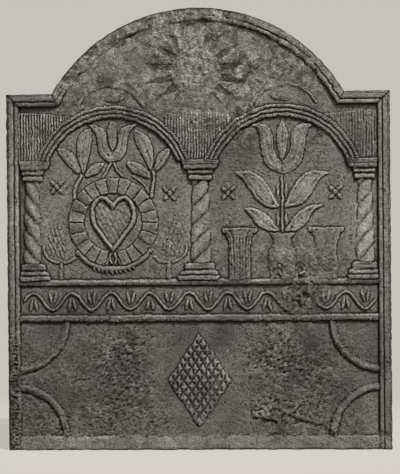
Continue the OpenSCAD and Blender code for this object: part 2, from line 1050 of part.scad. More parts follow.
// Outer and inner edges of the heart's left half, from the notch to the tip.
// They are drawn for a wreath of this inner radius.
DRAWN_HEART_R = 55;
HEART_OUTER = [[0, 36], [-9, 46], [-20, 50], [-35, 43], [-43, 19], [-38, -7], [-18, -33], [0, -56]];
HEART_INNER = [[0, 24], [-10, 37], [-20, 42], [-29, 36], [-35, 18], [-30, -4], [-14, -26], [0, -44]];

module heart_rib() {
    steps = 15;
    k = (wreath_r - wreath_w) / DRAWN_HEART_R;
    function half_row(t) =
        row(k * on_curve(HEART_INNER, t), k * on_curve(HEART_OUTER, t), RIDGE, heart_relief);
    down = [for (i = [0:steps]) half_row(i / steps)];
    up = [
        for (i = [steps - 1:-1:1])
            [for (p = half_row(i / steps)) [-p[0], p[1], p[2]]]
    ];
    color(WORN_IRON)
        on_face(left_bay_x, wreath_centre)
            relief_through(concat(down, up), true);
}

// Pendant under the heart: a drop between two curls
module heart_foot() {
    relief = 5;
    top = wreath_w - wreath_r - 2;
    k = wreath_w / 27;
    function hung(p) = [for (q = p) [q[0] * k, top + q[1] * k]];
    color(WORN_IRON)
        on_face(left_bay_x, wreath_centre)
            for (side = [0, 1])
                mirror([side, 0, 0]) {
                    branch(hung([[2.4, 0], [5, -7], [6, -13], [2.2, -20]]), 3.6, 3.6, relief, 6);
                    branch(hung([[9.8, -9], [10.6, -14], [12.4, -19], [14, -22]]), 2.6, 3, relief, 5);
                }
}

// A sapling is drawn for a room of this width between the wreath and a column
DRAWN_ROOM = 52.5;

// Little tree: a trunk, two branches and a crown of slanting strokes
module sapling(room) {
    k = room / DRAWN_ROOM;
    crown_foot = 46;
    crown_x = -7;
    strokes = [3, 4, 4, 3, 2];
    stroke_pitch = 8.5;
    row_rise = 13;
    function drawn(p) = scaled(p, k);
    branch(drawn([[0, 0.5], [0, 16], [0, 32]]), 9 * k, 6 * k, stem_relief, 4);
    branch(drawn([[-5, 33], [-18, 38], [-30, 48], [-33, 66]]), 6 * k, 4 * k, stem_relief, 7);
    branch(drawn([[5, 33], [15, 35], [28, 43]]), 6 * k, 6 * k, stem_relief, 4);
    for (j = [0:len(strokes) - 1], i = [0:strokes[j] - 1])
        translate(k * [
            crown_x + stroke_pitch * (i - (strokes[j] - 1) / 2), crown_foot + row_rise * j - 2 * i, 0
        ])
            branch(drawn([[-1.5, 12], [0.5, 6], [2.5, 0]]), 2 * k, 3.6 * k, stem_relief * 0.6, 3);
}

// Its axis stands at this share of the room from the column
SAPLING_PLACE = 0.7;

module left_sapling() {
    column_edge = side_half - side_column_x;
    room = left_bay_x - wreath_r - column_edge;
    color(IRON)
        on_face(column_edge + SAPLING_PLACE * room, band_top)
            sapling(room);
}

module right_sapling() {
    column_gap = 3;
    wreath_gap = 5;
    column_edge = middle_column_x - middle_half - column_gap;
    room = column_edge - left_bay_x - wreath_r - wreath_gap;
    color(IRON)
        on_face(column_edge - SAPLING_PLACE * room, band_top)
            mirror([1, 0, 0])
                sapling(room);
}

// Right bay

module right_tulip() {
    color(WORN_IRON)
        in_right_bay() {
            bay_leaf(
                [[-0.5, 22], [-16, 29], [-29, 41], [-38, 64], [-40, 88], [-44, 107], [-54, 114]],
                [[-0.5, 45], [-9, 55], [-15, 70], [-15, 91], [-21, 107], [-34, 116], [-53, 116]]
            );
            bay_leaf(
                [[0.5, 45], [12, 58], [17, 76], [17, 96], [25, 110], [40, 116], [56, 115]],
                [[0.5, 22], [17, 27], [33, 39], [41, 61], [45, 88], [49, 106], [57, 113]]
            );
            bay_leaf(
                [[-0.6, 48], [-7, 66], [-9, 88], [-7, 108], [0, 122]],
                [[0.6, 48], [7, 62], [11, 85], [11, 105], [3, 122]],
                leaf_relief * 0.8
            );
        }
}

module tulip_stem() {
    color(WORN_IRON)
        in_right_bay() {
            bay_branch([[0, 20], [1, -15], [0, -50], [1, -85]], 4, 5, stem_relief, 6);
            for (place = in_bay([[-7.5, -9], [7.5, -9], [-7.5, -60], [7.5, -60]]))
                translate([place[0], place[1], 0])
                    leaf(
                        [[-0.5, -13], [-3.6, 0], [-0.5, 13]],
                        [[0.5, -13], [3.6, 0], [0.5, 13]],
                        stem_relief * 0.8, 4, FINE
                    );
        }
}

module upper_leaves() {
    color(WORN_IRON)
        in_right_bay() {
            bay_leaf(
                [[-6, -40], [-26, -38], [-47, -26], [-61, -4], [-72, 14], [-86, 23]],
                [[-5, -36], [-12, -24], [-22, -3], [-40, 19], [-62, 30], [-86, 26]]
            );
            bay_leaf(
                [[5, -36], [9, -24], [18, -4], [34, 18], [57, 30], [86, 25]],
                [[6, -40], [36, -34], [54, -15], [66, 6], [75, 17], [86, 22]]
            );
        }
}

module lower_leaves() {
    color(WORN_IRON)
        in_right_bay() {
            bay_leaf(
                [[-6, -83], [-29, -82], [-48, -70], [-59, -54], [-69, -42]],
                [[-5, -79], [-14, -68], [-28, -52], [-45, -42], [-69, -39]]
            );
            bay_leaf(
                [[6, -79], [13, -68], [27, -50], [42, -40], [58, -35], [75, -35]],
                [[7, -83], [26, -83], [45, -70], [53, -53], [63, -42], [75, -38]]
            );
        }
}

// Half width of the vase at shares of its height
VASE = [[24, 0], [22, 0.17], [27, 0.38], [25, 0.6], [17, 0.76], [16, 0.86], [22, 0.97], [23, 1]];

// Two hollows near the vase's foot, as [x, height, radius, depth left], and a scroll beside it
VASE_HOLLOWS = [[-10, 1, 7.5, 1.5], [-1, 19, 5, 2]];
VASE_SCROLL = [33, 18];

module vase() {
    steps = 14;
    scroll_r = 6;
    scroll_w = 4;
    color(WORN_IRON)
        on_face(right_bay_x, band_top) {
            difference() {
                half_turned([
                    for (i = [0:steps])
                        let (p = on_curve(VASE, i / steps))
                            [p[1] * vase_h, p[0], p[0], vase_relief]
                ]);
                for (h = VASE_HOLLOWS)
                    translate([h[0], h[1], h[3]])
                        cylinder(r = h[2], h = vase_relief);
            }
            translate([VASE_SCROLL[0], VASE_SCROLL[1], 0])
                rotate([0, 0, -110])
                    rotate_extrude(angle = 290, $fn = 32)
                        polygon([
                            [scroll_r, 0],
                            [scroll_r + 1, stem_relief],
                            [scroll_r + scroll_w - 1, stem_relief],
                            [scroll_r + scroll_w, 0]
                        ]);
        }
}

// Flared, fluted basket: shares of the half width and of the height
BASKET = [[0.62, 0], [0.6, 0.3], [0.58, 0.6], [0.66, 0.8], [0.78, 0.9], [1, 0.94], [0.98, 1]];

module basket() {
    steps = 9;
    half_turned(
        [
            for (i = [0:steps])
                let (p = on_curve(BASKET, i / steps))
                    [
                        p[1] * basket_h, p[0] * basket_w / 2, p[0] * basket_w / 2,
                        basket_relief * (0.8 + 0.2 * p[0])
                    ]
        ],
        3, 14, 7, 0.25
    );
}

module left_basket() {
    color(IRON)
        on_face(right_bay_x - 79 * bay_scale, band_top)
            basket();
}

module right_basket() {
    color(IRON)
        on_face(right_bay_x + 81 * bay_scale, band_top)
            basket();
}

// Four-petal rosettes in the free ground of the bays
rosette_places = [
    [left_bay_x - 104 * bay_scale, arch_centre + 2],
    [left_bay_x + 106 * bay_scale, arch_centre - 12],
    [right_bay_x - 99 * bay_scale, arch_centre - 12],
    [right_bay_x + 99 * bay_scale, arch_centre - 12]
];

module rosettes() {
    relief = 3.5;
    boss_r = 4;
    color(WORN_IRON)
        for (place = rosette_places)
            on_face(place[0], place[1]) {
                cylinder(r = boss_r, h = relief);
                for (i = [0:3])
                    rotate([0, 0, 90 * i + 45])
                        translate([boss_r + 1, 0, 0])
                            leaf(
                                [[0, 2], [5, 4.5], [12, 0.8]],
                                [[0, -2], [5, -4.5], [12, -0.8]],
                                relief, 4, FINE
                            );
            }
}

// Lower panel

panel_top = band_h;
panel_foot = foot_rail_h;

// Quarter ring whose centre lies beyond a corner of the panel, clipped to the panel
module corner_arc(r, centre_x, centre_y) {
    intersection() {
        translate([centre_x, centre_y, 0])
            rotate_extrude($fn = 128)
                intersection() {
                    translate([r - corner_bead_r, corner_relief - corner_bead_r])
                        circle(corner_bead_r);
                    translate([r - 2 * corner_bead_r, 0])
                        square([2 * corner_bead_r, corner_relief]);
                }
        translate([-rim_inner, panel_foot, 0])
            cube([rim_inner, panel_top - panel_foot, corner_relief]);
    }
}

CORNER_OFFSET = 6;

module upper_left_corner_arc() {
    color(WORN_IRON)
        on_face()
            corner_arc(upper_corner_r, -rim_inner - CORNER_OFFSET, panel_top + CORNER_OFFSET / 2);
}

module upper_right_corner_arc() {
    color(WORN_IRON)
        on_face()
            mirror([1, 0, 0])
                corner_arc(upper_corner_r, -rim_inner - CORNER_OFFSET, panel_top + CORNER_OFFSET / 2);
}

module lower_left_corner_arc() {
    color(WORN_IRON)
        on_face()
            corner_arc(lower_corner_r, -rim_inner - CORNER_OFFSET, panel_foot);
}

module lower_right_corner_arc() {
    color(WORN_IRON)
        on_face()
            mirror([1, 0, 0])
                corner_arc(lower_corner_r, -rim_inner - CORNER_OFFSET, panel_foot);
}

// Lozenge cut into pyramids by two sets of V grooves
module lozenge_studs() {
    half_x = lozenge_w / 2;
    half_y = lozenge_h / 2;
    side_l = norm([half_x, half_y]);
    lean = atan(half_y / half_x);
    cell = 2 * half_x * half_y / side_l / stud_count;
    groove_foot = 0.8;
    tip = 0.4;
    inset = 1 - groove_foot / (cell * stud_count / 2);
    color(WORN_IRON)
        on_face(0, (panel_foot + panel_top) / 2 - 4)
            difference() {
                linear_extrude(stud_relief)
                    polygon(scaled([[-half_x, 0], [0, -half_y], [half_x, 0], [0, half_y]], inset));
                for (side = [-1, 1], i = [-stud_count / 2:stud_count / 2])
                    rotate([0, 0, side * lean])
                        translate([-side_l, side * i * cell, 0])
                            run_right(2 * side_l)
                                polygon([
                                    [0, groove_foot],
                                    [cell / 2 - tip, stud_relief + 0.1],
                                    [tip - cell / 2, stud_relief + 0.1]
                                ]);
            }
}

back_plate();
left_rim();
right_rim();
left_shoulder_rim();
right_shoulder_rim();
head_rim();
foot_rail();
band_lower_rail();
band_upper_rail();
band_vine();
left_column();
middle_column();
right_column();
left_base();
middle_base();
right_base();
left_capital();
middle_capital();
right_capital();
left_arch();
right_arch();
left_reeds();
middle_reeds();
right_reeds();
sun_disc();
sun_rays();
left_head_spray();
right_head_spray();
left_tulip();
left_leaf_spray();
right_leaf_spray();
wreath_ring();
wreath_rim();
heart_rib();
heart_foot();
left_sapling();
right_sapling();
right_tulip();
tulip_stem();
upper_leaves();
lower_leaves();
vase();
left_basket();
right_basket();
rosettes();
upper_left_corner_arc();
upper_right_corner_arc();
lower_left_corner_arc();
lower_right_corner_arc();
lozenge_studs();
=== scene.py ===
# %% [markdown]
# # A cast-iron stove plate
#
# The real plate is one sand casting. A founder pressed a carved wooden pattern into damp sand and
# ran iron into the hollow, so every edge is a little round, every corner is filled, and the whole
# skin is grainy. CAD gives the exact plan of each carved piece. Here each piece gets that skin:
# its front is read from the CAD solid as a field of heights, carved in its finer lines, worn, and
# built again as a mesh in the same place.
#
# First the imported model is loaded. Its box is kept, because the dressed plate has to stay inside.

# %% Load the frame
import math
import bpy
import numpy as np
from mathutils import Matrix, Vector
from mathutils.bvhtree import BVHTree


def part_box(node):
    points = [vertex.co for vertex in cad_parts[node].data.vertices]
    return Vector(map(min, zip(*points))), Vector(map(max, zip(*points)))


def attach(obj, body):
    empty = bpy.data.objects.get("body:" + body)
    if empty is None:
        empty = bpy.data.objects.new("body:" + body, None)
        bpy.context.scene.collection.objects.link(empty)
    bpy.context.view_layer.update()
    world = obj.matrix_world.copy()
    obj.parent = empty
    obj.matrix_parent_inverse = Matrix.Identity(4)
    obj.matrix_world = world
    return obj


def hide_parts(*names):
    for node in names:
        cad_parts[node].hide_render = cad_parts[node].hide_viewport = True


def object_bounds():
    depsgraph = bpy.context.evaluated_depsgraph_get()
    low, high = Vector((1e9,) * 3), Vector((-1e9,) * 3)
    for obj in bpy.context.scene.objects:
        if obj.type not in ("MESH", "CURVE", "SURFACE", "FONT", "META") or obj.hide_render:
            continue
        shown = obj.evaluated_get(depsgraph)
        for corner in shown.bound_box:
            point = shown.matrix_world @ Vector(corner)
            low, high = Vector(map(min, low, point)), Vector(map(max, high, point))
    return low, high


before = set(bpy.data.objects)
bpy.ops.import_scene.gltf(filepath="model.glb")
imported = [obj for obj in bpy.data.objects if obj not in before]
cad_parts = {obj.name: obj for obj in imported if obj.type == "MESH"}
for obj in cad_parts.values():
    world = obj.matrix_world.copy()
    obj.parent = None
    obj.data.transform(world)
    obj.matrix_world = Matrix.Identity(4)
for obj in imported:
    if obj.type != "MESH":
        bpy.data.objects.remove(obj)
cad_box = [list(corner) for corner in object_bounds()]
print("CAD box in metres:", cad_box)

# %% [markdown]
# ## A sheet of heights
#
# Relief this low can be drawn as one height for each point of the plate's face, as on graph paper
# with a line every millimetre. Sculpting by hand would give the same surface, but a sheet of
# numbers can be measured, smoothed and combined, and gives the same result each time. All heights
# are in millimetres towards the viewer from the slab's face, which lies at FACE_Y.

# %% Lay out the sheet
MM = 0.001
CELL = 1.0
MARGIN = 8  # of empty sheet round the plate and round each piece
slab_low, slab_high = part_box("back_plate")
HALF_W, HEAD_TOP = slab_high.x / MM, slab_high.z / MM
FACE_Y, BACK_Y = slab_low.y / MM, slab_high.y / MM
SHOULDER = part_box("left_rim")[1].z / MM
HEAD_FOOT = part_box("head_rim")[1].x / MM  # half the head's width, where it meets the shoulders
HEAD_RISE = HEAD_TOP - SHOULDER
HEAD_R = (HEAD_FOOT ** 2 + HEAD_RISE ** 2) / (2 * HEAD_RISE)
HEAD_CENTRE = HEAD_TOP - HEAD_R
TALLEST = FACE_Y - cad_box[0][1] / MM

sheet_x = np.arange(-HALF_W - MARGIN, HALF_W + MARGIN + 0.5, CELL)
sheet_z = np.arange(-MARGIN, math.ceil(HEAD_TOP) + MARGIN + 0.5, CELL)
X, Z = np.meshgrid(sheet_x, sheet_z)
print("sheet:", X.shape, "head radius", round(HEAD_R, 1), "tallest relief", round(TALLEST, 2))

# %% [markdown]
# ## Smoothing and reading a sheet
#
# Two things are done to sheets all through this file. Smoothing rounds what a tool or the sand
# would round, and reading between the points lets a pattern move by less than a millimetre.
# Blender's Smooth modifier works on a mesh, and there is none yet, so both work on the numbers.


# %% Smooth and read a sheet
def soften(a, spread):
    """A sheet smoothed by a bell curve of this spread, in cells."""
    reach = int(math.ceil(3 * spread))
    steps = range(-reach, reach + 1)
    weights = [math.exp(-0.5 * (s / spread) ** 2) for s in steps]
    total = sum(weights)
    for axis in (0, 1):
        pad = [(reach, reach) if k == axis else (0, 0) for k in (0, 1)]
        wide = np.moveaxis(np.pad(a, pad, mode="edge"), axis, 0)
        n = a.shape[axis]
        summed = sum(w / total * wide[reach + s: reach + s + n] for s, w in zip(steps, weights))
        a = np.moveaxis(summed, 0, axis)
    return a


def read_sheet(a, row, column):
    """Values of a sheet between its points, by straight lines."""
    row = np.clip(row, 0, a.shape[0] - 1.001)
    column = np.clip(column, 0, a.shape[1] - 1.001)
    r, c = np.floor(row).astype(int), np.floor(column).astype(int)
    fr, fc = row - r, column - c
    return (
        a[r, c] * (1 - fr) * (1 - fc) + a[r + 1, c] * fr * (1 - fc)
        + a[r, c + 1] * (1 - fr) * fc + a[r + 1, c + 1] * fr * fc
    )


def read_at(a, x, z):
    """Values of a whole sheet at places on the face, in millimetres."""
    return read_sheet(a, z - sheet_z[0], x - sheet_x[0])


def bell(off, width):
    """1 where `off` is 0, falling away evenly on both sides."""
    return np.exp(-((off / width) ** 2))


spike = np.zeros((9, 9))
spike[4, 4] = 1
print("a spike of 1, smoothed by one cell:", round(float(soften(spike, 1)[4, 4]), 3))

# %% [markdown]
# ## Random lumps
#
# Sand, rust and a knife all leave irregular marks, each of about one size. Such lumps are random
# numbers on a coarse grid that is smoothed and then read at finer points. Flakes are lumps with
# flat tops, and swirls are lumps that are read at drifted points. A noise texture in the material
# could look the same from the front, but then the marks wouldn't be in the shape. Each call has
# its own seed, so the marks are the same in each run.


# %% Lumps, flakes and swirls
def mottle(size, seed, tall=1.0):
    """Random lumps about this many millimetres wide, with mean 0 and deviation 1."""
    step = max(1.0, size / 4)
    rows = int(len(sheet_z) / (step * tall)) + 4
    columns = int(len(sheet_x) / step) + 4
    a = np.random.default_rng(seed).normal(size=(rows, columns))
    a = soften(a, max(size / step / 2.5, 0.4))
    down = np.arange(len(sheet_z))[:, None] / (step * tall)
    a = read_sheet(a, down, np.arange(len(sheet_x))[None, :] / step)
    return (a - a.mean()) / a.std()


def flaky(a):
    """Lumps turned into flat flakes with steep edges."""
    return np.tanh(2.2 * a)


def swirled(a, reach, seed):
    """Lumps drawn out into swirls, by reading them at drifted points."""
    rows, columns = np.mgrid[0:len(sheet_z), 0:len(sheet_x)]
    return read_sheet(a, rows + reach * mottle(28, seed), columns + reach * mottle(28, seed + 1))


fine, small, middling, large = mottle(3, 1), mottle(6, 2), mottle(13, 3), mottle(60, 4)
flakes = flaky(swirled(middling, 9, 30))
ridges = flaky(swirled(mottle(8, 32, 0.6), 3, 33))
print("mottling deviations:", [round(float(a.std()), 2) for a in (fine, small, middling, large)])

# %% [markdown]
# ## Rough and worn places
#
# The plate didn't rust evenly. The head, two patches of the lower panel and the ground round the
# right basket are badly corroded, while the left bay is still sound. Crests are worn off in the
# head and down the left side. Soft ellipses describe this in a few numbers, and one painted
# image would do the same but couldn't be read or changed as easily.


# %% Rough iron
def soft_spots(spots):
    """Sum of soft ellipses: middle x and z, half width, half height and strength."""
    total = np.zeros(X.shape)
    for x, z, half_x, half_z, strength in spots:
        total += strength * np.exp(-(((X - x) / half_x) ** 2) - ((Z - z) / half_z) ** 2)
    return total


SOUND_IRON = 0.14
ROUGH_SPOTS = [
    # head and the tops of the bays
    (0, 750, 240, 75, 0.9), (-150, 690, 110, 40, 0.5), (150, 690, 110, 45, 0.5),
    (0, 812, 230, 18, 0.8), (-215, 622, 50, 22, 0.5), (-118, 624, 50, 16, 0.8),
    (5, 592, 45, 38, 0.6), (-300, 570, 45, 50, 0.6),
    # bays and band
    (205, 345, 60, 45, 0.8), (70, 350, 40, 40, 0.6), (77, 565, 36, 52, 0.8),
    (222, 568, 22, 50, 0.7), (-70, 370, 32, 55, 0.6), (190, 281, 36, 30, 1.0),
    # lower panel, foot and side edges
    (-158, 140, 100, 112, 0.9), (-310, 60, 45, 50, 0.5), (175, 130, 85, 110, 1.0),
    (0, 12, 420, 14, -0.35), (-345, 100, 16, 110, 1.0), (345, 200, 14, 60, 0.4),
]
rough = np.clip((SOUND_IRON + soft_spots(ROUGH_SPOTS)) * (1 + 0.3 * large), 0.07, 1)
stain = rough * np.where(Z > 560, 1.0, 0.6)  # how much the rust has marbled the colour
print("share of rough iron:", round(float((rough > 0.5).mean()), 2))

# %% Worn iron
WORN_SPOTS = [
    # head
    (-120, 730, 150, 70, 0.55), (0, 745, 110, 70, 0.35), (140, 705, 110, 50, 0.6),
    (-220, 720, 60, 70, 0.6), (0, 812, 170, 16, 0.6), (-75, 797, 75, 12, 0.5),
    # arches and reeds
    (0, 652, 70, 24, 0.6), (5, 610, 50, 25, 0.4), (-300, 560, 30, 50, 0.35),
    (262, 585, 26, 26, 0.35),
    # columns
    (-298, 423, 7, 95, 0.5), (2, 423, 20, 85, 0.2), (303, 423, 24, 85, 0.45),
    # bays and band
    (28, 400, 12, 70, 0.5), (222, 352, 34, 48, 0.7), (150, 335, 30, 15, 0.3),
    (292, 300, 30, 10, 0.2), (190, 281, 32, 28, 0.8),
    # lower panel, foot and side edges
    (0, 70, 50, 40, 0.25), (30, 130, 22, 50, 0.25), (0, 8, 420, 16, 0.5), (0, 28, 420, 7, 0.7),
    (-345, 90, 18, 110, 0.75), (-348, 330, 16, 120, 0.3), (345, 330, 12, 330, 0.2),
]
wear = np.clip(soft_spots(WORN_SPOTS) * (1 + 0.3 * middling), 0, 0.92)
print("share of worn iron:", round(float((wear > 0.3).mean()), 2))

# %% [markdown]
# ## Light and dark iron
#
# Old iron isn't one grey. Brushed places are paler, and sooty or damp ones are darker. The sheet
# called tone says how light the iron is at each point, where 1 is the finish's own colour. It
# starts here with the plate's large patches, and each carved line darkens it later. Part of it is
# painted shade: a few of the spots, the darker lower panel and much of the carving's darkening.
# Vertex paint would hold the same thing, but a list of spots can be measured and corrected by
# numbers.

# %% Tone of the iron
TONE_SPOTS = [
    # head
    (0, 740, 260, 90, 0.47), (150, 705, 90, 55, 0.1), (0, 744, 34, 34, -0.12),
    (-2, 816, 30, 5, -0.5),
    # shoulders and tops of the bays; z 631 is the painted shadow under the left shoulder's rim
    (-290, 649, 62, 4, -0.55), (-290, 641, 64, 5, -0.7), (-290, 631, 60, 4, -0.4),
    (-288, 622, 55, 9, -0.2), (300, 661, 48, 5, 0.75), (300, 640, 45, 5, 0.35),
    (295, 590, 40, 40, -0.1), (262, 585, 22, 22, 0.15), (-115, 622, 50, 14, -0.28),
    # columns; x -321 is painted shade on the left column's left side, x 332 the right rim's painted
    # shadow
    (-321, 423, 8, 95, -0.42), (-315, 522, 28, 16, -0.2), (-17, 423, 4, 70, 0.35),
    (2, 423, 20, 75, 0.26), (307, 423, 20, 75, 0.8), (332, 423, 4, 110, -0.5),
    # left bay
    (-170, 450, 110, 120, 0.24), (-262, 390, 25, 60, 0.12),
    # right bay
    (240, 500, 60, 90, 0.12), (230, 560, 50, 30, -0.08), (75, 575, 32, 40, -0.12),
    (222, 575, 18, 45, -0.1), (58, 430, 25, 60, -0.12), (180, 345, 60, 40, -0.07),
    (146, 345, 20, 32, -0.09), (148, 331, 6, 6, -0.35), (187, 337, 6, 5, -0.3),
    # band
    (0, 250, 500, 60, -0.16), (0, 277, 500, 24, -0.14),
    # lower panel
    (-225, 165, 35, 60, 0.1), (-70, 130, 40, 70, 0.1), (-150, 50, 90, 22, -0.14),
    (-130, 150, 40, 60, -0.08), (-318, 135, 22, 70, -0.16), (-300, 130, 90, 90, -0.1),
    (-285, 200, 18, 30, 0.1), (0, 130, 50, 90, 0.07), (90, 120, 40, 90, 0.1),
    (200, 170, 60, 30, -0.1), (300, 120, 30, 60, 0.1),
    # foot and side edges
    (0, 12, 500, 15, 0.43), (-346, 90, 14, 110, -0.2), (-346, 450, 14, 220, 0.12),
    (346, 400, 14, 400, 0.15), (340, 130, 8, 120, -0.2),
]
below_band = 1 / (1 + np.exp((Z - 235) / 12))
in_head = 1 / (1 + np.exp((645 - Z) / 12))
clouds = 0.08 * large + 0.09 * mottle(24, 50)
clouds += (1 - below_band) * (1 - in_head) * (0.07 * small + 0.07 * fine)
# the lower panel is made darker as a whole: painted shade for light that falls off towards the
# bottom
tone = np.clip(1.1 + soft_spots(TONE_SPOTS) - 0.3 * below_band + clouds, 0.3, 2)
print("tone from", round(float(tone.min()), 2), "to", round(float(tone.max()), 2))

# %% [markdown]
# ## The ground
#
# The ground is what the sand bed and the rust made of a flat board: slow waves from the bed,
# flakes of rust in three sizes where the iron is rough, and a grain of single sand marks. A stony
# lump that came in with the iron crosses the band at the right, and a cold seam, where two flows
# of iron met, lies in the lower panel. A Displace modifier could lift the same lumps, but here
# they go into the sheet, so that the relief and its wear can be added to them.


# %% Seam, lump and combed patch
def ridge_along(path, half_w, fall):
    """A ridge along straight lines, steep below and fading over `fall` above."""
    total = np.zeros(X.shape)
    for (x0, z0), (x1, z1) in zip(path[:-1], path[1:]):
        t = np.clip((X - x0) / (x1 - x0), 0, 1)
        off = Z - (z0 + (z1 - z0) * t)
        shape = np.where(off < 0, bell(off, half_w), np.exp(-off / fall))
        total = np.maximum(total, shape * bell(X - x0 - (x1 - x0) * t, half_w))
    return total


SEAM = [(250, 34), (230, 47), (204, 53), (180, 60), (173, 66), (152, 66), (147, 56), (100, 64)]
cold_seam = ridge_along(SEAM, half_w=2, fall=15)
lump = np.clip(1.6 * soft_spots([(190, 281, 31, 28, 1.0)]) + 0.3 * middling - 0.45, 0, 1)
fibres = flaky(mottle(3, 40, 7))
combed = np.clip(soft_spots([(-297, 206, 32, 26, 1.5)]), 0, 1)
print("the lump covers", int((lump > 0.5).sum()), "square millimetres")

# %% Ground heights
in_panel = below_band * ((np.abs(X) < 325) | (X < -335))
rust_depth = rough * (1 + 1.5 * in_panel) * (1 - 0.5 * in_head)
ground = 0.22 * large + 0.09 * small + 0.12 * fine
ground += rust_depth * (0.3 * flakes + 0.38 * ridges + 0.42 * flaky(mottle(4.5, 5, 0.7)))
ground += 0.4 * fibres * combed + 3.6 * cold_seam
ground += lump * (2.6 + 1.6 * flaky(small) + 1.2 * flakes)
print("ground heights from", round(float(ground.min()), 2), "to", round(float(ground.max()), 2))

# %% [markdown]
# ## Reading a carved piece
#
# A ray shot at a CAD solid from the front tells how high it stands at that point. One ray for
# each crossing of the graph paper turns the solid into a sheet of heights. A Shrinkwrap modifier
# drapes a grid over a solid in the same way, but it gives a mesh, and numbers are wanted here.


# %% Cast a solid's heights
def window(node):
    """Rows and columns of the sheet that hold a node and the margin round it."""
    a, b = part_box(node)
    columns = np.searchsorted(sheet_x, [a.x / MM - MARGIN, b.x / MM + MARGIN])
    rows = np.searchsorted(sheet_z, [a.z / MM - MARGIN, b.z / MM + MARGIN])
    return slice(*rows), slice(*columns)


def cast_heights(node, rows, columns):
    """Height of a node's solid at each point of its window, and 0 beside it."""
    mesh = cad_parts[node].data
    tree = BVHTree.FromPolygons([v.co for v in mesh.vertices], [p.vertices for p in mesh.polygons])
    toward_back = Vector((0, 1, 0))
    heights = np.zeros((rows.stop - rows.start, columns.stop - columns.start))
    for j, z in enumerate(sheet_z[rows]):
        for i, x in enumerate(sheet_x[columns]):
            hit = tree.ray_cast(Vector((x * MM, -0.1, z * MM)), toward_back)[0]
            if hit is not None:
                heights[j, i] = FACE_Y - hit.y / MM
    return heights


RELIEF_NODES = [n for n in sorted(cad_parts) if n != "back_plate"]
windows = {n: window(n) for n in RELIEF_NODES}
cast = {n: cast_heights(n, *windows[n]) for n in RELIEF_NODES}
print("cast", len(cast), "pieces,", sum(a.size for a in cast.values()), "rays")

# %% [markdown]
# ## Edges cut by hand
#
# No edge of a hand-carved pattern is straight for long, and the sand tears it a little more. Each
# sheet is therefore read at points that are shifted by a random drift, more where the iron is
# rough. That moves the edges without changing any height. Thin reeds and studs then get their
# steps cut deeper, because a knife leaves them sharper than rays a millimetre apart can read.

# %% Drift the edges
drift_x = 0.55 * mottle(11, 6) + 0.4 * mottle(4, 7)
drift_z = 0.55 * mottle(11, 8) + 0.4 * mottle(4, 9)
DRIFT_SHARE = {
    "left_rim": 0.7, "right_rim": 0.35, "left_shoulder_rim": 0.5, "right_shoulder_rim": 0.4,
    "lozenge_studs": 2.0,
}


def drifted(node):
    """A node's heights, read at drifted points."""
    here = windows[node]
    reach = (0.55 + 0.9 * rough[here]) * DRIFT_SHARE.get(node, 1)
    row = np.arange(reach.shape[0])[:, None] + reach * drift_z[here]
    column = np.arange(reach.shape[1])[None, :] + reach * drift_x[here]
    return read_sheet(cast[node], row, column)


print("largest drift:", round(float(np.abs(drift_x).max()), 2), "mm")


# %% Crisper steps
def crisper(a, amount):
    """Heights with their fine steps made deeper."""
    return np.clip(a + amount * (a - soften(a, 1.7)) * (a > 0.1), 0, TALLEST)


PLAIN_CRISPNESS = 0.4
CRISPNESS = {
    "left_reeds": 3.6, "middle_reeds": 1.1, "right_reeds": 0.2, "left_arch": 0.9,
    "right_arch": 0.9, "left_basket": 2.2, "right_basket": 1.5, "lozenge_studs": 0.8,
}
carved = {n: crisper(drifted(n), CRISPNESS.get(n, PLAIN_CRISPNESS)) for n in RELIEF_NODES}
print("tallest piece:", max(carved, key=lambda n: carved[n].max()))

# %% [markdown]
# ## Finer carving: rope on the arches
#
# Some carving is finer than the CAD solids hold, and each such pattern is a small change of the
# heights in one piece. The first is on the arches, where the outer and the inner moulding are cut
# like a twisted rope. A strand could be modelled and repeated along a curve, but that would need
# thousands of faces. A slanting wave that takes some of the moulding's height reads the same.


# %% Rope on the arches
def round_places(node, centre_x, centre_z):
    """Distance from a centre, and angle in radians, over a node's window."""
    across, up = X[windows[node]] - centre_x, Z[windows[node]] - centre_z
    return np.hypot(across, up), np.arctan2(up, across)


ARCH_W = 21.5
ROPE_PITCH, ROPE_DEPTH = 5.5, 0.6
GROOVES = (6.8, 14.7)  # between the mouldings, in from the outer edge
for n in ("left_arch", "right_arch"):
    low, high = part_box(n)
    half, rise = (high.x - low.x) / 2 / MM, (high.z - low.z) / MM
    radius = (half ** 2 + rise ** 2) / (2 * rise)
    r, angle = round_places(n, (low.x + high.x) / 2 / MM, high.z / MM - radius)
    inwards = radius - r
    strand = 0.5 + 0.5 * np.cos(2 * np.pi * (angle * radius - 0.8 * inwards) / ROPE_PITCH)
    outer, inner = bell(inwards - 3, 3), bell(inwards - ARCH_W + 3, 3)
    carved[n] = carved[n] * (1 - ROPE_DEPTH * strand * np.clip(outer + 0.8 * inner, 0, 1))
    groove = sum(bell(inwards - g, 2) for g in GROOVES)
    # painted shade in the grooves between the mouldings, and a painted highlight on the rope's
    # raised strands
    tone[windows[n]] *= (1 - 0.5 * groove) * (1 + 0.2 * outer * (1 - strand))
    print(n, "radius", round(radius, 1), "mm")

# %% [markdown]
# ## Finer carving: leaves and petals
#
# The carver left each leaf a raised border and cut a line inside it, and rust has pitted the
# middle. Offset curves in CAD would give the border, but they break at a leaf's sharp tip. The
# leaf's own shape, smoothed, rises evenly from its edge inwards, so a bell at one value of it
# draws a line that follows the edge and fades at the tip.

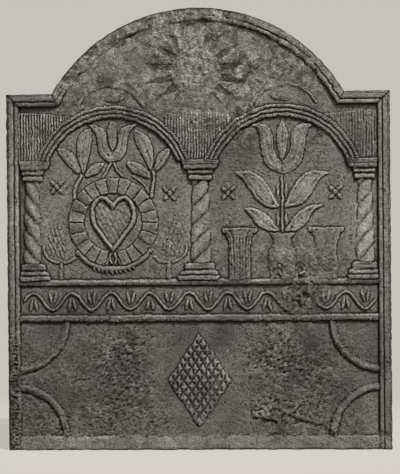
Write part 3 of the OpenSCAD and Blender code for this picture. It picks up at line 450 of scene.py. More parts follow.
# %% Borders, cut lines and pits
LEAFY = (
    "left_tulip", "right_tulip", "left_leaf_spray", "right_leaf_spray", "upper_leaves",
    "lower_leaves",
)
FRAMED = ("upper_leaves", "lower_leaves")  # leaves with a wider border
DARKER_LINES_X = 150  # cut lines in the leaves to the left of this are painted darker
pits = np.clip(mottle(5, 10) - 1.25, 0, 1.2)
for n in LEAFY:
    here = windows[n]
    shape = (carved[n] > 0.4).astype(float)
    inside = soften(shape, 2.4)
    line = bell((soften(shape, 4.5) if n in FRAMED else inside) - 0.9, 0.055)
    line = line * np.clip(0.7 + 0.5 * middling[here], 0, 1)
    carved[n] *= 0.9 + 0.25 * bell(inside - 0.72, 0.12)
    on_leaf = carved[n] > 0.8
    dark = np.where(X[here] < DARKER_LINES_X, 0.85, 0.4) if n in FRAMED else 0.5
    # the cut line inside each leaf is darkened as painted shade
    tone[here] *= 1 - dark * line * on_leaf
    carved[n] -= 1.2 * line * on_leaf + 12 * np.clip(inside - 0.93, 0, 1) * pits[here]
print("borders cut on", len(LEAFY), "pieces")

# %% [markdown]
# ## Finer carving: blocks of the wreath
#
# The wreath is a ring of blocks, like the stones of a well. Each is tilted a little differently,
# so each catches the light in its own way, and its tone is painted darker where its tilt takes it
# lower, as painted shade. Separate boxes would do, but the CAD ring already has the joints, and one
# random slope for each block is all that is missing.

# %% Tilted blocks
BLOCKS, BLOCK_TILT = 22, 2.2
low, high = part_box("wreath_ring")
wreath_x, wreath_z = (low.x + high.x) / 2 / MM, (low.z + high.z) / 2 / MM
r, angle = round_places("wreath_ring", wreath_x, wreath_z)
turn = (angle - np.pi / 2) / (2 * np.pi) * BLOCKS + 0.5
block = np.floor(turn).astype(int) % BLOCKS
tilts = np.random.default_rng(11).uniform(-BLOCK_TILT, BLOCK_TILT, BLOCKS)
tilt = tilts[block] * (turn % 1 - 0.5) * (0.7 + 1.8 * np.abs(np.cos(angle)) ** 3)
ring = carved["wreath_ring"]
on_block = ring > 1
# painted shade on each block, darker where its tilt takes it lower
block_shade = (1.02 + 0.05 * tilts)[block] * (1 - 0.4 * np.clip(-tilt, 0, 1))
tone[windows["wreath_ring"]] *= np.where(on_block, block_shade, 1)
carved["wreath_ring"] = np.where(on_block, ring * 0.85 + tilt, ring)
print("blocks tilted by up to", round(float(np.abs(tilt[on_block]).max()), 2), "mm")

# %% [markdown]
# ## Finer carving: ragged rails and arcs
#
# The sand tore where the band's rails and the upper corner arcs left it, and the iron filled the
# tears as small teeth. The lower arcs fade towards their inner edge. A wave along the edge, held
# to the last few millimetres, takes bites out of the height, which is quicker to change than
# teeth cut into the solid.

# %% Ragged rails
RAIL_TOOTH = 4.4
UPPER_RAIL_LOSS = 3  # mm of the upper rail that are worn away below
for n in ("band_upper_rail", "band_lower_rail"):
    here = windows[n]
    height = Z[here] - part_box(n)[0].z / MM
    if n == "band_upper_rail":
        carved[n] = carved[n] * np.clip((height - UPPER_RAIL_LOSS) / 1.5, 0, 1)
        height = height - UPPER_RAIL_LOSS - 0.5
    teeth = 0.5 + 0.5 * np.cos(2 * np.pi * (X[here] + 2.5 * middling[here]) / RAIL_TOOTH)
    uneven = np.clip(0.6 + 0.4 * small[here], 0, 1)
    carved[n] = carved[n] * (1 - teeth * uneven * np.clip((3.4 - height) / 2, 0, 0.9))
print("teeth on each rail:", int(2 * HALF_W / RAIL_TOOTH))


# %% Corner arcs
ARC_TOOTH = 6


def corner_arc(node):
    """Distance in from an arc's outer radius, and the wave of its teeth."""
    low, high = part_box(node)
    corner_x = low.x if low.x < 0 else high.x
    corner_z = high.z if node.startswith("upper") else low.z
    r, angle = round_places(node, corner_x / MM, corner_z / MM)
    outer_r = (high.z - low.z) / MM
    return outer_r - r, 0.5 + 0.5 * np.cos(2 * np.pi * angle * outer_r / ARC_TOOTH)


for n, depth in (("upper_left_corner_arc", 0.6), ("upper_right_corner_arc", 0.35)):
    inwards, teeth = corner_arc(n)
    at_edges = np.clip((5 - inwards) / 3, 0, 1) + 0.6 * np.clip((inwards - 9) / 3, 0, 1)
    ramp = np.clip(0.5 + (14 - inwards) / 10, 0, 1)
    carved[n] = carved[n] * (1 - depth * teeth * at_edges) * ramp
for n in ("lower_left_corner_arc", "lower_right_corner_arc"):
    inwards = corner_arc(n)[0]
    carved[n] = carved[n] * np.clip(0.2 + inwards / 11, 0, 1)
    print(n, "now", round(float(carved[n].max()), 1), "mm tall")

# %% [markdown]
# ## Finer carving: flat and fibrous pieces
#
# Saplings, rays and the right-hand reeds stand lower than the rest, because they rusted most. The
# solids could be thinner instead, but they carry the pattern's own height, and rust isn't the
# pattern. The right-hand reeds have also split into fibres, so they get upright random lumps.

# %% Lowered pieces
LOWERED = {"left_sapling": 0.7, "right_sapling": 0.6, "sun_rays": 0.4, "right_reeds": 0.7}
for n, share in LOWERED.items():
    carved[n] = carved[n] * share
carved["right_reeds"] += 0.7 * fibres[windows["right_reeds"]] * (carved["right_reeds"] > 0.3)
print("lowered", len(LOWERED), "pieces")

# %% [markdown]
# ## Finer carving: strokes in the heart
#
# The field inside the heart is chased with short slanting strokes. They are too many and too thin
# to be pieces, so they are a pattern of two waves, one across the strokes and one along them,
# added to the ground wherever the heart's rib shuts it in on all four sides.


# %% Strokes in the heart
def enclosed(mask):
    """Points with the mask on all four sides."""
    inside = ~mask
    for axis in (0, 1):
        before = np.maximum.accumulate(mask, axis)
        after = np.maximum.accumulate(mask[::-1, ::-1], axis)[::-1, ::-1]
        inside = inside & before & after
    return inside


STROKE_LEAN = math.radians(62)
STROKE_GAP, STROKE_LENGTH = 8, 19
here = windows["heart_rib"]
along = X[here] * math.cos(STROKE_LEAN) - Z[here] * math.sin(STROKE_LEAN)
across = X[here] * math.sin(STROKE_LEAN) + Z[here] * math.cos(STROKE_LEAN)
shifted = along / STROKE_LENGTH + 0.37 * np.floor(across / STROKE_GAP)
stroke = np.clip(np.sin(np.pi * (across / STROKE_GAP % 1)) * 1.6 - 0.5, 0, 1)
stroke = stroke * np.clip(np.sin(np.pi * (shifted % 1)) * 2 - 0.6, 0, 1)
in_heart = enclosed(cast["heart_rib"] > 0.2)
ground[here] += 1.3 * stroke * soften(in_heart.astype(float), 1)
print("the heart's field:", int(in_heart.sum()), "square millimetres")

# %% [markdown]
# ## Finer carving: columns and basket
#
# The half columns are twisted like rope, and the left basket is fluted. The solids have the
# twist, but on the real plate its grooves are deeper and darker, so each groove is followed with a
# slanting wave that lowers the height and darkens the tone, as dirt and painted shade. The outer
# columns twist in opposite ways. The basket's flutes are an upright wave that narrows towards its
# foot, and their tone is darkened as painted shade.

# %% Grooves of the columns
TWIST_RISE = 34
TWISTS = {"left_column": -1, "middle_column": 1, "right_column": 1}
for n, turned in TWISTS.items():
    here = windows[n]
    low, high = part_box(n)
    across = (X[here] - (low.x + high.x) / 2 / MM) / ((high.x - low.x) / MM)
    phase = (Z[here] - low.z / MM) / TWIST_RISE - turned * (0.5 + across)
    phase = phase + 0.03 * middling[here]
    on_shaft = carved[n] > 0.5
    groove = (1 - np.abs(np.sin(np.pi * phase))) ** 2 * on_shaft
    carved[n] = soften(carved[n], 1.5) * on_shaft - 2.2 * groove
    # dirt and painted shade in the grooves; the shaft itself is made a little lighter
    tone[here] *= (1 - 0.5 * groove) * (1 + 0.12 * on_shaft)
    print(n, "has", round((high.z - low.z) / MM / TWIST_RISE, 1), "twists")

# %% Flutes of the left basket
FLUTE_PITCH = 6.2
here = windows["left_basket"]
basket = carved["left_basket"]
low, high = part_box("left_basket")
down = (high.z / MM - Z[here]) / ((high.z - low.z) / MM)
spread_x = (X[here] - (low.x + high.x) / 2 / MM) / (1 - 0.25 * down)
flute = np.clip(np.cos(2 * np.pi * spread_x / FLUTE_PITCH) - 0.1, 0, 1)
flute = flute * (down > 0.16) * (basket > 0.6) * np.clip(1.3 - down, 0, 1)
carved["left_basket"] = basket - 1.3 * flute
# painted shade in the flutes
tone[here] *= 1 - 0.5 * flute
print("flutes:", int((high.x - low.x) / MM / FLUTE_PITCH))

# %% [markdown]
# ## A cut line round every piece
#
# Where a carved piece meets the ground, the carver's knife left a thin sunk line, called a quirk.
# It holds dirt and painted shade, which make each piece stand out. It could be cut into the slab's
# solid, but it follows every drifted edge, so it is found from the smoothed outline of each piece.
# It is deepest and darkest below and to the left of a piece, the side away from the lamp, so there
# its darkness is painted shadow.

# %% Quirks
QUIRK_DEPTH = 1.1
quirk = np.zeros(X.shape)
for n in RELIEF_NODES:
    on_piece = carved[n] > 0.25
    beside = soften(on_piece.astype(float), 1.8)
    up, right = np.gradient(beside)
    away_from_lamp = (0.9 * up + 0.4 * right) / (np.hypot(up, right) + 1e-6)
    cut = bell(beside - 0.24, 0.16) * ~on_piece * (0.6 + 0.4 * away_from_lamp)
    quirk[windows[n]] = np.maximum(quirk[windows[n]], cut)
quirk = quirk * np.clip(0.8 + 0.4 * small, 0.1, 1.4) * (1 - wear)
ground -= QUIRK_DEPTH * quirk
# dirt and painted shade in the cut line, darkest below and left of each piece
tone *= 1 - 0.5 * np.clip(quirk, 0, 1)
print("quirks cover", round(float((quirk > 0.3).mean()), 3), "of the sheet")

# %% [markdown]
# ## Torn curls at the vase's foot
#
# Beside the vase's foot the skin of the casting is torn in three short curls. They are scars and
# not carving, so the solids don't have them. A sculpting brush could cut them, but each is the
# upper half of a circle, so three middles and radii say it all.

# %% Torn curls
CURLS = ((150, 340, 4.5), (146, 328, 8), (188, 338, 8))  # middle x and z, and radius
for x, z, radius in CURLS:
    scar = bell(np.hypot(X - x, Z - z) - radius, 2.1) * np.clip((Z - z) / 3 + 0.7, 0, 1)
    tone *= 1 - 0.9 * scar
    ground -= 1.1 * scar
print("curls:", len(CURLS))

# %% [markdown]
# ## Painted shadow under the ledges
#
# Each piece gets a painted shadow: a dark line below it and to its left, away from the lamp at
# the upper right. An Ambient Occlusion node finds corners too, but it can't tell below from above,
# and it isn't part of an exported model. Here each piece's heights are copied a few millimetres
# down and to the left, and what they cover without being on the piece is painted shadow.

# %% Painted shadow under the ledges
FLUSH = ("reeds", "spray", "sapling", "sun_disc", "sun_rays", "ring")
HEAVY = ("rail", "arc", "rim", "base", "capital", "column", "arch")
SHADOW_STEPS = ((1, 0), (2, 1), (3, 1), (4, 2))  # down and to the left
SHADOW_CASTERS = [n for n in RELIEF_NODES if not n.endswith(FLUSH) or "leaf" in n]
for n in SHADOW_CASTERS:
    here = windows[n]
    full_height, shadow_strength = (4, 0.85) if n.endswith(HEAVY) else (3, 0.65)
    tall = np.clip(carved[n] / full_height, 0, 1)
    if n == "lozenge_studs":
        tall = (cast[n] > 0.02).astype(float)
    painted_shadow = np.zeros(tall.shape)
    for down, left in SHADOW_STEPS:
        covered = painted_shadow[:-down, :tall.shape[1] - left]
        np.maximum(covered, tall[down:, left:], out=covered)
    painted_shadow = soften(np.clip(painted_shadow - tall * 1.5, 0, 1), 0.7) * (1 - wear[here])
    # painted shadow below and to the left of the piece
    tone[here] *= 1 - shadow_strength * painted_shadow * np.clip(0.8 + 0.4 * small[here], 0.2, 1)
print("ledges:", len(SHADOW_CASTERS))

# %% [markdown]
# ## Wear
#
# Iron leaves the sand with small radii, and rust and brushing take the crests down further. A
# narrow blur gives the radii, a wider one is mixed in where the iron is rough, and worn places
# lose most of their height. The blur also spreads a small fillet round the foot of each piece. A
# Bevel modifier would round each edge by the same amount, which no old casting has.

# %% Wear each piece
SOUND_EDGE, WORN_EDGE = 0.65, 2.6


def worn(node):
    """A node's carved heights, with rounder edges and lower crests."""
    lost = wear[windows[node]]
    blend = np.clip(0.55 * rough[windows[node]] + lost, 0, 1)
    crisp, round_off = soften(carved[node], SOUND_EDGE), soften(carved[node], WORN_EDGE)
    return np.maximum((crisp + blend * (round_off - crisp)) * (0.97 - 0.85 * lost), 0)


relief = {n: worn(n) for n in RELIEF_NODES}
print("worn; tallest now", round(float(max(a.max() for a in relief.values())), 2))

# %% [markdown]
# ## Tones that follow the carving
#
# Leaves were brushed bright, the gaps between reeds and studs are darkened as dirt and painted
# shade, the studs' tops get a painted highlight, and rust has eaten dark wedges between the sun's
# rays. These belong to the carving, so they are worked out from the carved sheets, and no place
# has to be marked by hand.


# %% Leaves, reeds and studs
def hollows_of(a, spread_of, depth):
    """Where a carved sheet lies under its own average, from 0 to 1."""
    return np.clip((soften(a, spread_of) - a) / depth, 0, 1)


BRUSHED = {"right_tulip": 0.38, "upper_leaves": 0.38, "lower_leaves": 0.38}
REED_TONES = {"left_reeds": (0.85, 0.5), "middle_reeds": (0.6, 0.2), "right_reeds": (0.4, 0.0)}
for n in LEAFY:
    raised = soften((carved[n] > 0.6).astype(float), 1.2)
    tone[windows[n]] *= 1 + BRUSHED.get(n, 0.2) * raised * (1 - wear[windows[n]])
for n, (dark, light) in REED_TONES.items():
    on_reeds = cast[n] > 0.05
    # dirt and painted shade in the gaps between the reeds
    tone[windows[n]] *= 1 - dark * hollows_of(carved[n], 2, 0.8) * on_reeds
    tone[windows[n]] *= 1 + light * on_reeds
studs, here = carved["lozenge_studs"], windows["lozenge_studs"]
# dirt and painted shade between the studs, then a painted highlight that grows with their height
tone[here] *= 1 - 0.4 * hollows_of(studs, 2.5, 1.2) * (cast["lozenge_studs"] > 0.02)
tone[here] *= 1 + 0.25 * np.clip(studs / 3, 0, 1)
print("reeds toned:", list(REED_TONES))

# %% Rusted wedges round the sun
RAYS, WEDGE_REACH = 16, 54
low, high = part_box("sun_disc")
sun_r = (high.x - low.x) / 2 / MM
here = windows["sun_rays"]
r, angle = round_places("sun_rays", (low.x + high.x) / 2 / MM, (low.z + high.z) / 2 / MM)
out = (r - sun_r) / WEDGE_REACH
from_ray = np.abs((angle / (2 * np.pi) * RAYS) % 1 - 0.5) + 0.05 * middling[here]
wedge = np.clip((0.45 * (1 - out) - from_ray) / 0.1, 0, 1) * np.clip((out - 0.02) / 0.06, 0, 1)
wedge = wedge * np.clip(1.7 * np.abs(np.cos(angle)) - 0.55, 0.15, 1)
tone[here] *= 1 - 0.6 * wedge
ground[here] -= 1.5 * wedge
print("sun radius:", round(sun_r, 1), "mm")

# %% [markdown]
# ## One sheet for the whole face
#
# The finishes have to know which points are crests, which lie in a hollow and which are sheltered
# by something large, because hollows and sheltered ground are painted darker as dirt and shade.
# Blender's Pointiness reads that from a mesh, but its answer changes with the size of the faces
# and can't cross from one piece to the next. So all heights are put together in one sheet, and
# each point is compared with the average round it, near and far.


# %% The plate's outline
def inside_outline(x, z):
    """How far a point lies inside the plate's outline, in millimetres."""
    box = np.minimum(np.minimum(HALF_W - np.abs(x), SHOULDER - z), z)
    arc = HEAD_R - np.hypot(x, z - HEAD_CENTRE)
    head = np.minimum(arc, z - SHOULDER + 0.001)
    low_head = np.minimum(HEAD_FOOT - np.abs(x), np.minimum(z, arc))
    return np.maximum(np.maximum(box, head), np.where(z > SHOULDER - 30, low_head, -1))


depth_inside = inside_outline(X, Z)
# a dark band along the plate's outline; down the left side, which faces away from the lamp, it is
# wider and darker as painted shade
left_side = X < -HALF_W + 10
edge_width = np.where(left_side, 5.2, 3.3 + 0.6 * middling)
at_edge = np.clip((edge_width - depth_inside) / 1.3, 0, 1)
tone *= 1 - at_edge * np.where(left_side, 0.97, 0.85) * np.clip(1 + 0.3 * small, 0.3, 1)
print("the front covers", int((depth_inside > 0).sum()), "square millimetres")

# %% Crests, hollows and shelter
OUTSIDE = 13  # height given to everything round the plate, so that no edge counts as a crest and the outline counts as a hollow that the finish darkens
together = ground.copy()
cover = np.zeros(X.shape)
for n in RELIEF_NODES:
    here = windows[n]
    together[here] = np.maximum(together[here], relief[n] + ground[here])
    cover[here] = np.maximum(cover[here], soften((cast[n] > 0.2).astype(float), 1.75))
filled = np.where(depth_inside > -0.01, together, OUTSIDE)
crest = filled - soften(filled, 1.6)
hollow = filled - soften(filled, 4)
shelter = soften(filled, 9) - filled
print("crest from", round(float(crest.min()), 2), "to", round(float(crest.max()), 2))

# %% [markdown]
# ## Shells
#
# Each piece becomes a closed shell: its front follows the heights, a wall drops from its edge
# into the slab, and a flat back closes it there. The front runs on for a few millimetres over the
# ground round the piece's foot and then dips under the slab, so the two surfaces meet in a line
# that looks cast and not glued. A Solidify modifier gives a sheet thickness too, but its back
# would copy every lump of the front. Two cells that touch only at a corner would pinch the shell,
# so such corners are filled first.


# %% Cells and their borders
def unpinched(cells):
    """Cells with every corner-to-corner touch filled in."""
    while True:
        a, b, c, d = cells[:-1, :-1], cells[1:, 1:], cells[1:, :-1], cells[:-1, 1:]
        falling, rising = a & b & ~c & ~d, c & d & ~a & ~b
        if not (falling.any() or rising.any()):
            return cells
        cells = cells.copy()
        cells[1:, :-1] |= falling
        cells[:-1, :-1] |= rising


def grid_faces(cells):
    """Corner numbers of each chosen cell, and the edges round the chosen cells."""
    ids = np.arange((cells.shape[0] + 1) * (cells.shape[1] + 1)).reshape(cells.shape[0] + 1, -1)
    a, b, c, d = (k[cells] for k in (ids[:-1, :-1], ids[:-1, 1:], ids[1:, 1:], ids[1:, :-1]))
    wide = np.pad(cells, 1)
    beside = (wide[:-2, 1:-1], wide[1:-1, 2:], wide[2:, 1:-1], wide[1:-1, :-2])
    border = [
        np.stack([p, q], 1)[~side[cells]]
        for (p, q), side in zip(((a, b), (b, c), (c, d), (d, a)), beside)
    ]
    return np.stack([a, b, c, d], 1), np.concatenate(border)


def ordered_loop(edges):
    """The corners of one closed border in order."""
    after = {int(p): int(q) for p, q in edges}
    loop = [int(edges[0][0])]
    while after[loop[-1]] != loop[0]:
        loop.append(after[loop[-1]])
    return loop


three_by_three = np.ones((3, 3), bool)
print("edges round 3 by 3 cells:", len(grid_faces(three_by_three)[1]))


# %% Fills with few triangles
def zipped(low, high, x, z):
    """Triangles between two lines of points, each step along the shorter diagonal."""
    faces, i, j = [], 0, 0
    while i < len(low) - 1 or j < len(high) - 1:
        to_low = to_high = math.inf
        if i < len(low) - 1:
            to_low = math.hypot(x[low[i + 1]] - x[high[j]], z[low[i + 1]] - z[high[j]])
        if j < len(high) - 1:
            to_high = math.hypot(x[low[i]] - x[high[j + 1]], z[low[i]] - z[high[j + 1]])
        if to_low <= to_high:
            faces.append((low[i], low[i + 1], high[j]))
            i += 1
        else:
            faces.append((low[i], high[j + 1], high[j]))
            j += 1
    return faces


def row_strips(cells, x, z):
    """Triangles that fill the chosen cells row by row, with corners only on their border."""
    width = cells.shape[1] + 1
    on_border = np.zeros(x.size, bool)
    on_border[grid_faces(cells)[1]] = True
    faces = []
    for r, row in enumerate(np.pad(cells, ((0, 0), (1, 1))).astype(int)):
        turns = np.flatnonzero(np.diff(row))
        for first, last in zip(turns[::2], turns[1::2]):
            lines = []
            for start in (r * width, (r + 1) * width):
                line = np.arange(start + first, start + last + 1)
                lines.append(line[on_border[line]])
            faces += zipped(*lines, x, z)
    return np.array(faces, int).reshape(-1, 3)


corner_x, corner_z = (k.ravel() for k in np.meshgrid(np.arange(4.0), np.arange(4.0)))
print("triangles that fill them:", len(row_strips(three_by_three, corner_x, corner_z)))

# %% [markdown]
# ## Edge and limit
#
# Rust has eaten into the plate's edge, so the outline wanders by about a millimetre. The points
# near it are moved inwards, never outwards, because rust only takes iron away. A Boolean cut along
# a wavy line would leave slivers at the edge, and moved points leave none. Heights are held under
# the tallest CAD relief in the same spirit, by a soft limit that bends the crests and cuts none of
# them flat.


# %% Uneven outline and soft limit
def edge_shift(x, z, least, most):
    """Points near the plate's outline, moved in by a random amount."""
    along = read_at(small + 0.6 * middling, x, z)
    near = np.clip(1 - inside_outline(x, z) / 5, 0, 1)
    shift = near * (least + most * np.clip(0.4 + 0.5 * along, 0, 1.3))
    on_head = z > SHOULDER + 0.5
    r = np.hypot(x, z - HEAD_CENTRE)
    out_x = np.where(on_head, x / r, np.where(HALF_W - np.abs(x) < 5, np.sign(x), 0))
    out_z = np.where(on_head, (z - HEAD_CENTRE) / r, np.where(z < 5, -1.0, 0))
    on_shoulder = ~on_head & (SHOULDER - z < 5) & (np.abs(x) > HEAD_FOOT)
    out_z = np.where(on_shoulder, 1.0, out_z)
    return x - out_x * shift, z - out_z * shift


def inward_from(x, z):
    """Directions away from the outline's straight sides, for what hides behind it."""
    return np.stack([-np.sign(x), 0 * x, -np.sign(z - 300)], 1)


def under_limit(h):
    """Heights held softly below the tallest CAD relief."""
    limit = TALLEST - 0.05
    return limit - 0.4 * np.logaddexp(0, (limit - h) / 0.4)


print("heights 5 and 15 under the limit:", [round(float(under_limit(h)), 2) for h in (5, 15)])

# %% [markdown]
# ## A mesh with what its finish reads
#
# A finish needs more than a place on the surface: whether the point is a crest, how rough the
# iron is, how dark. Each of these is stored on the mesh's points as an attribute, which an
# Attribute node reads back. An image texture could hold the same masks, but each shell would need
# unwrapping first, and its pixels would have to be as fine as the mesh already is.


# %% Mesh object with its point values
def point_values(x, z):
    """What the finishes read at each point."""
    sheets = {
        "crest": crest, "hollow": hollow, "shelter": shelter, "tone": tone, "stain": stain,
        "rough": rough * (1 - 0.5 * in_head),
    }
    return {key: read_at(a, x, z) for key, a in sheets.items()}


def add_piece(name, points, faces, smooth_count, finish, extra):
    """A mesh object with its point values and its finish, riding on the plate."""
    mesh = bpy.data.meshes.new(name)
    mesh.from_pydata((points * MM).tolist(), [], faces)
    smooth = np.zeros(len(mesh.polygons), bool)
    smooth[:smooth_count] = True
    mesh.polygons.foreach_set("use_smooth", smooth)
    for key, values in extra.items():
        values = np.asarray(values, np.float32)
        mesh.attributes.new(key, "FLOAT", "POINT").data.foreach_set("value", values)
    mesh.materials.append(finish)
    piece = bpy.data.objects.new(name, mesh)
    bpy.context.scene.collection.objects.link(piece)
    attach(piece, "root")
    return piece


middle = point_values(np.array([0.0]), np.array([400.0]))
print("at the plate's middle:", {key: round(float(v[0]), 2) for key, v in middle.items()})

# %% Shell of one carved piece
SUNK_Y = FACE_Y + 1.6  # where a shell's flat back lies, inside the slab
DEEPEST = -1.4  # how low a shell's front may dip under the slab's face


def cast_shell(name, heights, keep, rows, columns, finish, slot_name):
    """A closed shell over the kept points, whose front follows the heights."""
    cells = unpinched(keep[:-1, :-1] & keep[1:, :-1] & keep[:-1, 1:] & keep[1:, 1:])
    quads, border = grid_faces(cells)
    used, edge = np.unique(quads), np.unique(border)
    number, sunk = np.full(heights.size, -1), np.full(heights.size, -1)
    number[used] = np.arange(len(used))
    sunk[edge] = len(used) + np.arange(len(edge))

    x, z = (k.ravel() for k in np.meshgrid(sheet_x[columns], sheet_z[rows]))
    moved_x, moved_z = edge_shift(x, z, 0.35, 0.7)
    front_y = FACE_Y - np.maximum(under_limit(heights.ravel()), DEEPEST)
    top = np.stack([moved_x, front_y, moved_z], 1)
    at_outline = (inside_outline(x, z) < 1.2)[:, None]
    foot = np.stack([moved_x, np.full_like(x, SUNK_Y), moved_z], 1)
    foot = foot + inward_from(x, z) * at_outline * 1.2
    points = np.concatenate([top[used], foot[edge]])
    p, q = border.T
    walls = np.stack([number[q], number[p], sunk[p], sunk[q]], 1)
    back = sunk[row_strips(cells, x, z)][:, ::-1]
    faces = number[quads].tolist() + walls.tolist() + back.tolist()
    values = point_values(points[:, 0], points[:, 2])
    return add_piece(name, points, faces, len(quads), finish, values)


print("shells close", round(SUNK_Y - FACE_Y, 1), "mm inside the slab")

# %% [markdown]
# ## Finishes
#
# Old cast iron is a dull grey oxide. Three things make it look real: a granular skin from the
# sand, dark dirt with painted shade in corners, and crests rubbed a little brighter. Rust adds
# marbling and a warmer bloom. Both finishes on the plate need all of these, so each effect is a
# node group that is built once. First come a few helpers that place nodes and join them.


# %% Helpers for nodes
def new_group(name, inputs, outputs):
    """A node group with named inputs and outputs, and its two end nodes."""
    group = bpy.data.node_groups.new(name, "ShaderNodeTree")
    for label, kind, value in inputs:
        made = group.interface.new_socket(label, in_out="INPUT", socket_type=kind)
        made.default_value = value
    for label, kind in outputs:
        group.interface.new_socket(label, in_out="OUTPUT", socket_type=kind)
    return group, group.nodes.new("NodeGroupInput"), group.nodes.new("NodeGroupOutput")


def add_node(tree, kind, settings=None, inputs=None):
    """A node whose inputs are set to values or joined to the outputs of other nodes."""
    node = tree.nodes.new(kind)
    for key, value in (settings or {}).items():
        setattr(node, key, value)
    for key, value in (inputs or {}).items():
        if isinstance(value, bpy.types.NodeSocket):
            tree.links.new(value, node.inputs[key])
        else:
            node.inputs[key].default_value = value
    return node


def object_place(tree):
    """Where a point lies on its object, in metres."""
    return add_node(tree, "ShaderNodeTexCoord").outputs["Object"]


def noise(tree, place, size_mm, detail, roughness=0.55, swirl=0.0):
    """Noise with lumps of about this size; Blender's scale counts lumps in a metre."""
    return add_node(tree, "ShaderNodeTexNoise", inputs={
        "Vector": place, "Scale": 1000 / size_mm, "Detail": detail, "Roughness": roughness,
        "Distortion": swirl,
    }).outputs["Fac"]


def spread(tree, value, low, high, to_low=0.0, to_high=1.0):
    """A value between low and high, spread to another span and held at its ends."""
    return add_node(tree, "ShaderNodeMapRange", {"clamp": True}, {
        "Value": value, "From Min": low, "From Max": high, "To Min": to_low, "To Max": to_high,
    }).outputs["Result"]


def maths(tree, operation, a, b):
    """One operation on two values."""
    return add_node(tree, "ShaderNodeMath", {"operation": operation}, {0: a, 1: b}).outputs[0]


print("lumps of 7 mm need a noise scale of", round(1000 / 7, 1))

# %% [markdown]
# ### Sand skin
#
# The mould's sand leaves a skin of grit about 3 mm across, with lumps where grains washed out and
# a few open pits. The heights are kept in the mesh only down to about 3 mm, and the rest is left
# to bump, because finer faces would cost far more than they show. Specks are those pits and some
# finer ones seen as colour: they are black, since soot fills them.

# %% Sand skin
skin, g_in, g_out = new_group(
    "sand_skin",
    [("Roughness Map", "NodeSocketFloat", 0.3), ("Pits", "NodeSocketFloat", 1.0)],
    [("Height", "NodeSocketFloat"), ("Speckle", "NodeSocketFloat"), ("Specks", "NodeSocketFloat")],
)
place = object_place(skin)
grit = noise(skin, place, 2.7, 2, 0.6)
lumps = noise(skin, place, 7, 3, 0.6)
pits = spread(skin, noise(skin, place, 5.6, 1.5), 0.6, 0.68)
pits = maths(skin, "MULTIPLY", pits, g_in.outputs["Pits"])
lumps = maths(skin, "MULTIPLY", lumps, g_in.outputs["Roughness Map"])
height = maths(skin, "ADD", grit, maths(skin, "MULTIPLY", lumps, 1.8))
height = maths(skin, "SUBTRACT", height, maths(skin, "MULTIPLY", pits, 0.5))
specks = spread(skin, noise(skin, place, 3.6, 2, 0.7), 0.56, 0.66)
specks = maths(skin, "MAXIMUM", specks, pits)
patchy = spread(skin, noise(skin, place, 34, 3, 0.6), 0.35, 0.65, 0.25, 1.0)
skin.links.new(height, g_out.inputs["Height"])
skin.links.new(grit, g_out.inputs["Speckle"])
skin.links.new(maths(skin, "MULTIPLY", specks, patchy), g_out.inputs["Specks"])
print("group", skin.name, "has", len(skin.nodes), "nodes")

# %% [markdown]
# ### Dirt, painted shade and rubbed crests
#
# Corners get a sharp dark line, a soft wash round it, and a thin darkening wherever something
# large shelters the ground: soot and painted shade together. Hands and brushes reach only the
# crests and polish them, but not evenly, since the grit breaks the shine. Both are masks made from
# the point values, so one group gives the dirt and shade and one gives the rub.

# %% Dirt and painted shade in the corners
dirt_and_shade, g_in, g_out = new_group(
    "corner_dirt_and_shade",
    [("Crest", "NodeSocketFloat", 0.0), ("Hollow", "NodeSocketFloat", 0.0),
     ("Shelter", "NodeSocketFloat", 0.0), ("Amount", "NodeSocketFloat", 1.0)],
    [("Mask", "NodeSocketFloat")],
)
line = spread(dirt_and_shade, g_in.outputs["Crest"], -0.06, -0.42)
wash = spread(dirt_and_shade, g_in.outputs["Hollow"], -0.25, -1.8, 0, 0.65)
far = spread(dirt_and_shade, g_in.outputs["Shelter"], 0.8, 5.0, 0, 0.3)
mask = maths(dirt_and_shade, "MAXIMUM", line, maths(dirt_and_shade, "MAXIMUM", wash, far))
dirt_and_shade.links.new(maths(dirt_and_shade, "MULTIPLY", mask, g_in.outputs["Amount"]), g_out.inputs["Mask"])
print("group", dirt_and_shade.name, "has", len(dirt_and_shade.nodes), "nodes")

# %% Rubbed crests
rubbed, g_in, g_out = new_group(
    "rubbed_crests",
    [("Crest", "NodeSocketFloat", 0.0), ("Speckle", "NodeSocketFloat", 0.5)],
    [("Mask", "NodeSocketFloat")],
)
high = spread(rubbed, g_in.outputs["Crest"], 0.08, 0.9)
broken = spread(rubbed, g_in.outputs["Speckle"], 0.3, 0.6, 0.55, 1)
rubbed.links.new(maths(rubbed, "MULTIPLY", high, broken), g_out.inputs["Mask"])
print("group", rubbed.name, "has", len(rubbed.nodes), "nodes")

# %% [markdown]
# ### Patina and rust
#
# Where iron has rusted and been blackened again, its colour is marbled: pale and dark clouds with
# thin black veins and cracks between them. A vein is the line where a swirled noise passes its
# middle value, which is why it never ends or crosses itself. The bloom is a faint warm tint in
# the roughest places. Painting either by hand would take longer and wouldn't follow the wear.

# %% Patina
patina, g_in, g_out = new_group(
    "patina", [("Strength", "NodeSocketFloat", 0.3), ("Cracks", "NodeSocketFloat", 0.3)],
    [("Tone", "NodeSocketFloat"), ("Veins", "NodeSocketFloat")],
)
place = object_place(patina)


def vein_lines(size_mm, detail, swirl, width):
    """Thin lines where a swirled noise passes its middle value."""
    value = noise(patina, place, size_mm, detail, 0.62, swirl)
    offset = maths(patina, "ABSOLUTE", maths(patina, "SUBTRACT", value, 0.5), 0.0)
    return spread(patina, offset, width, 0.0)


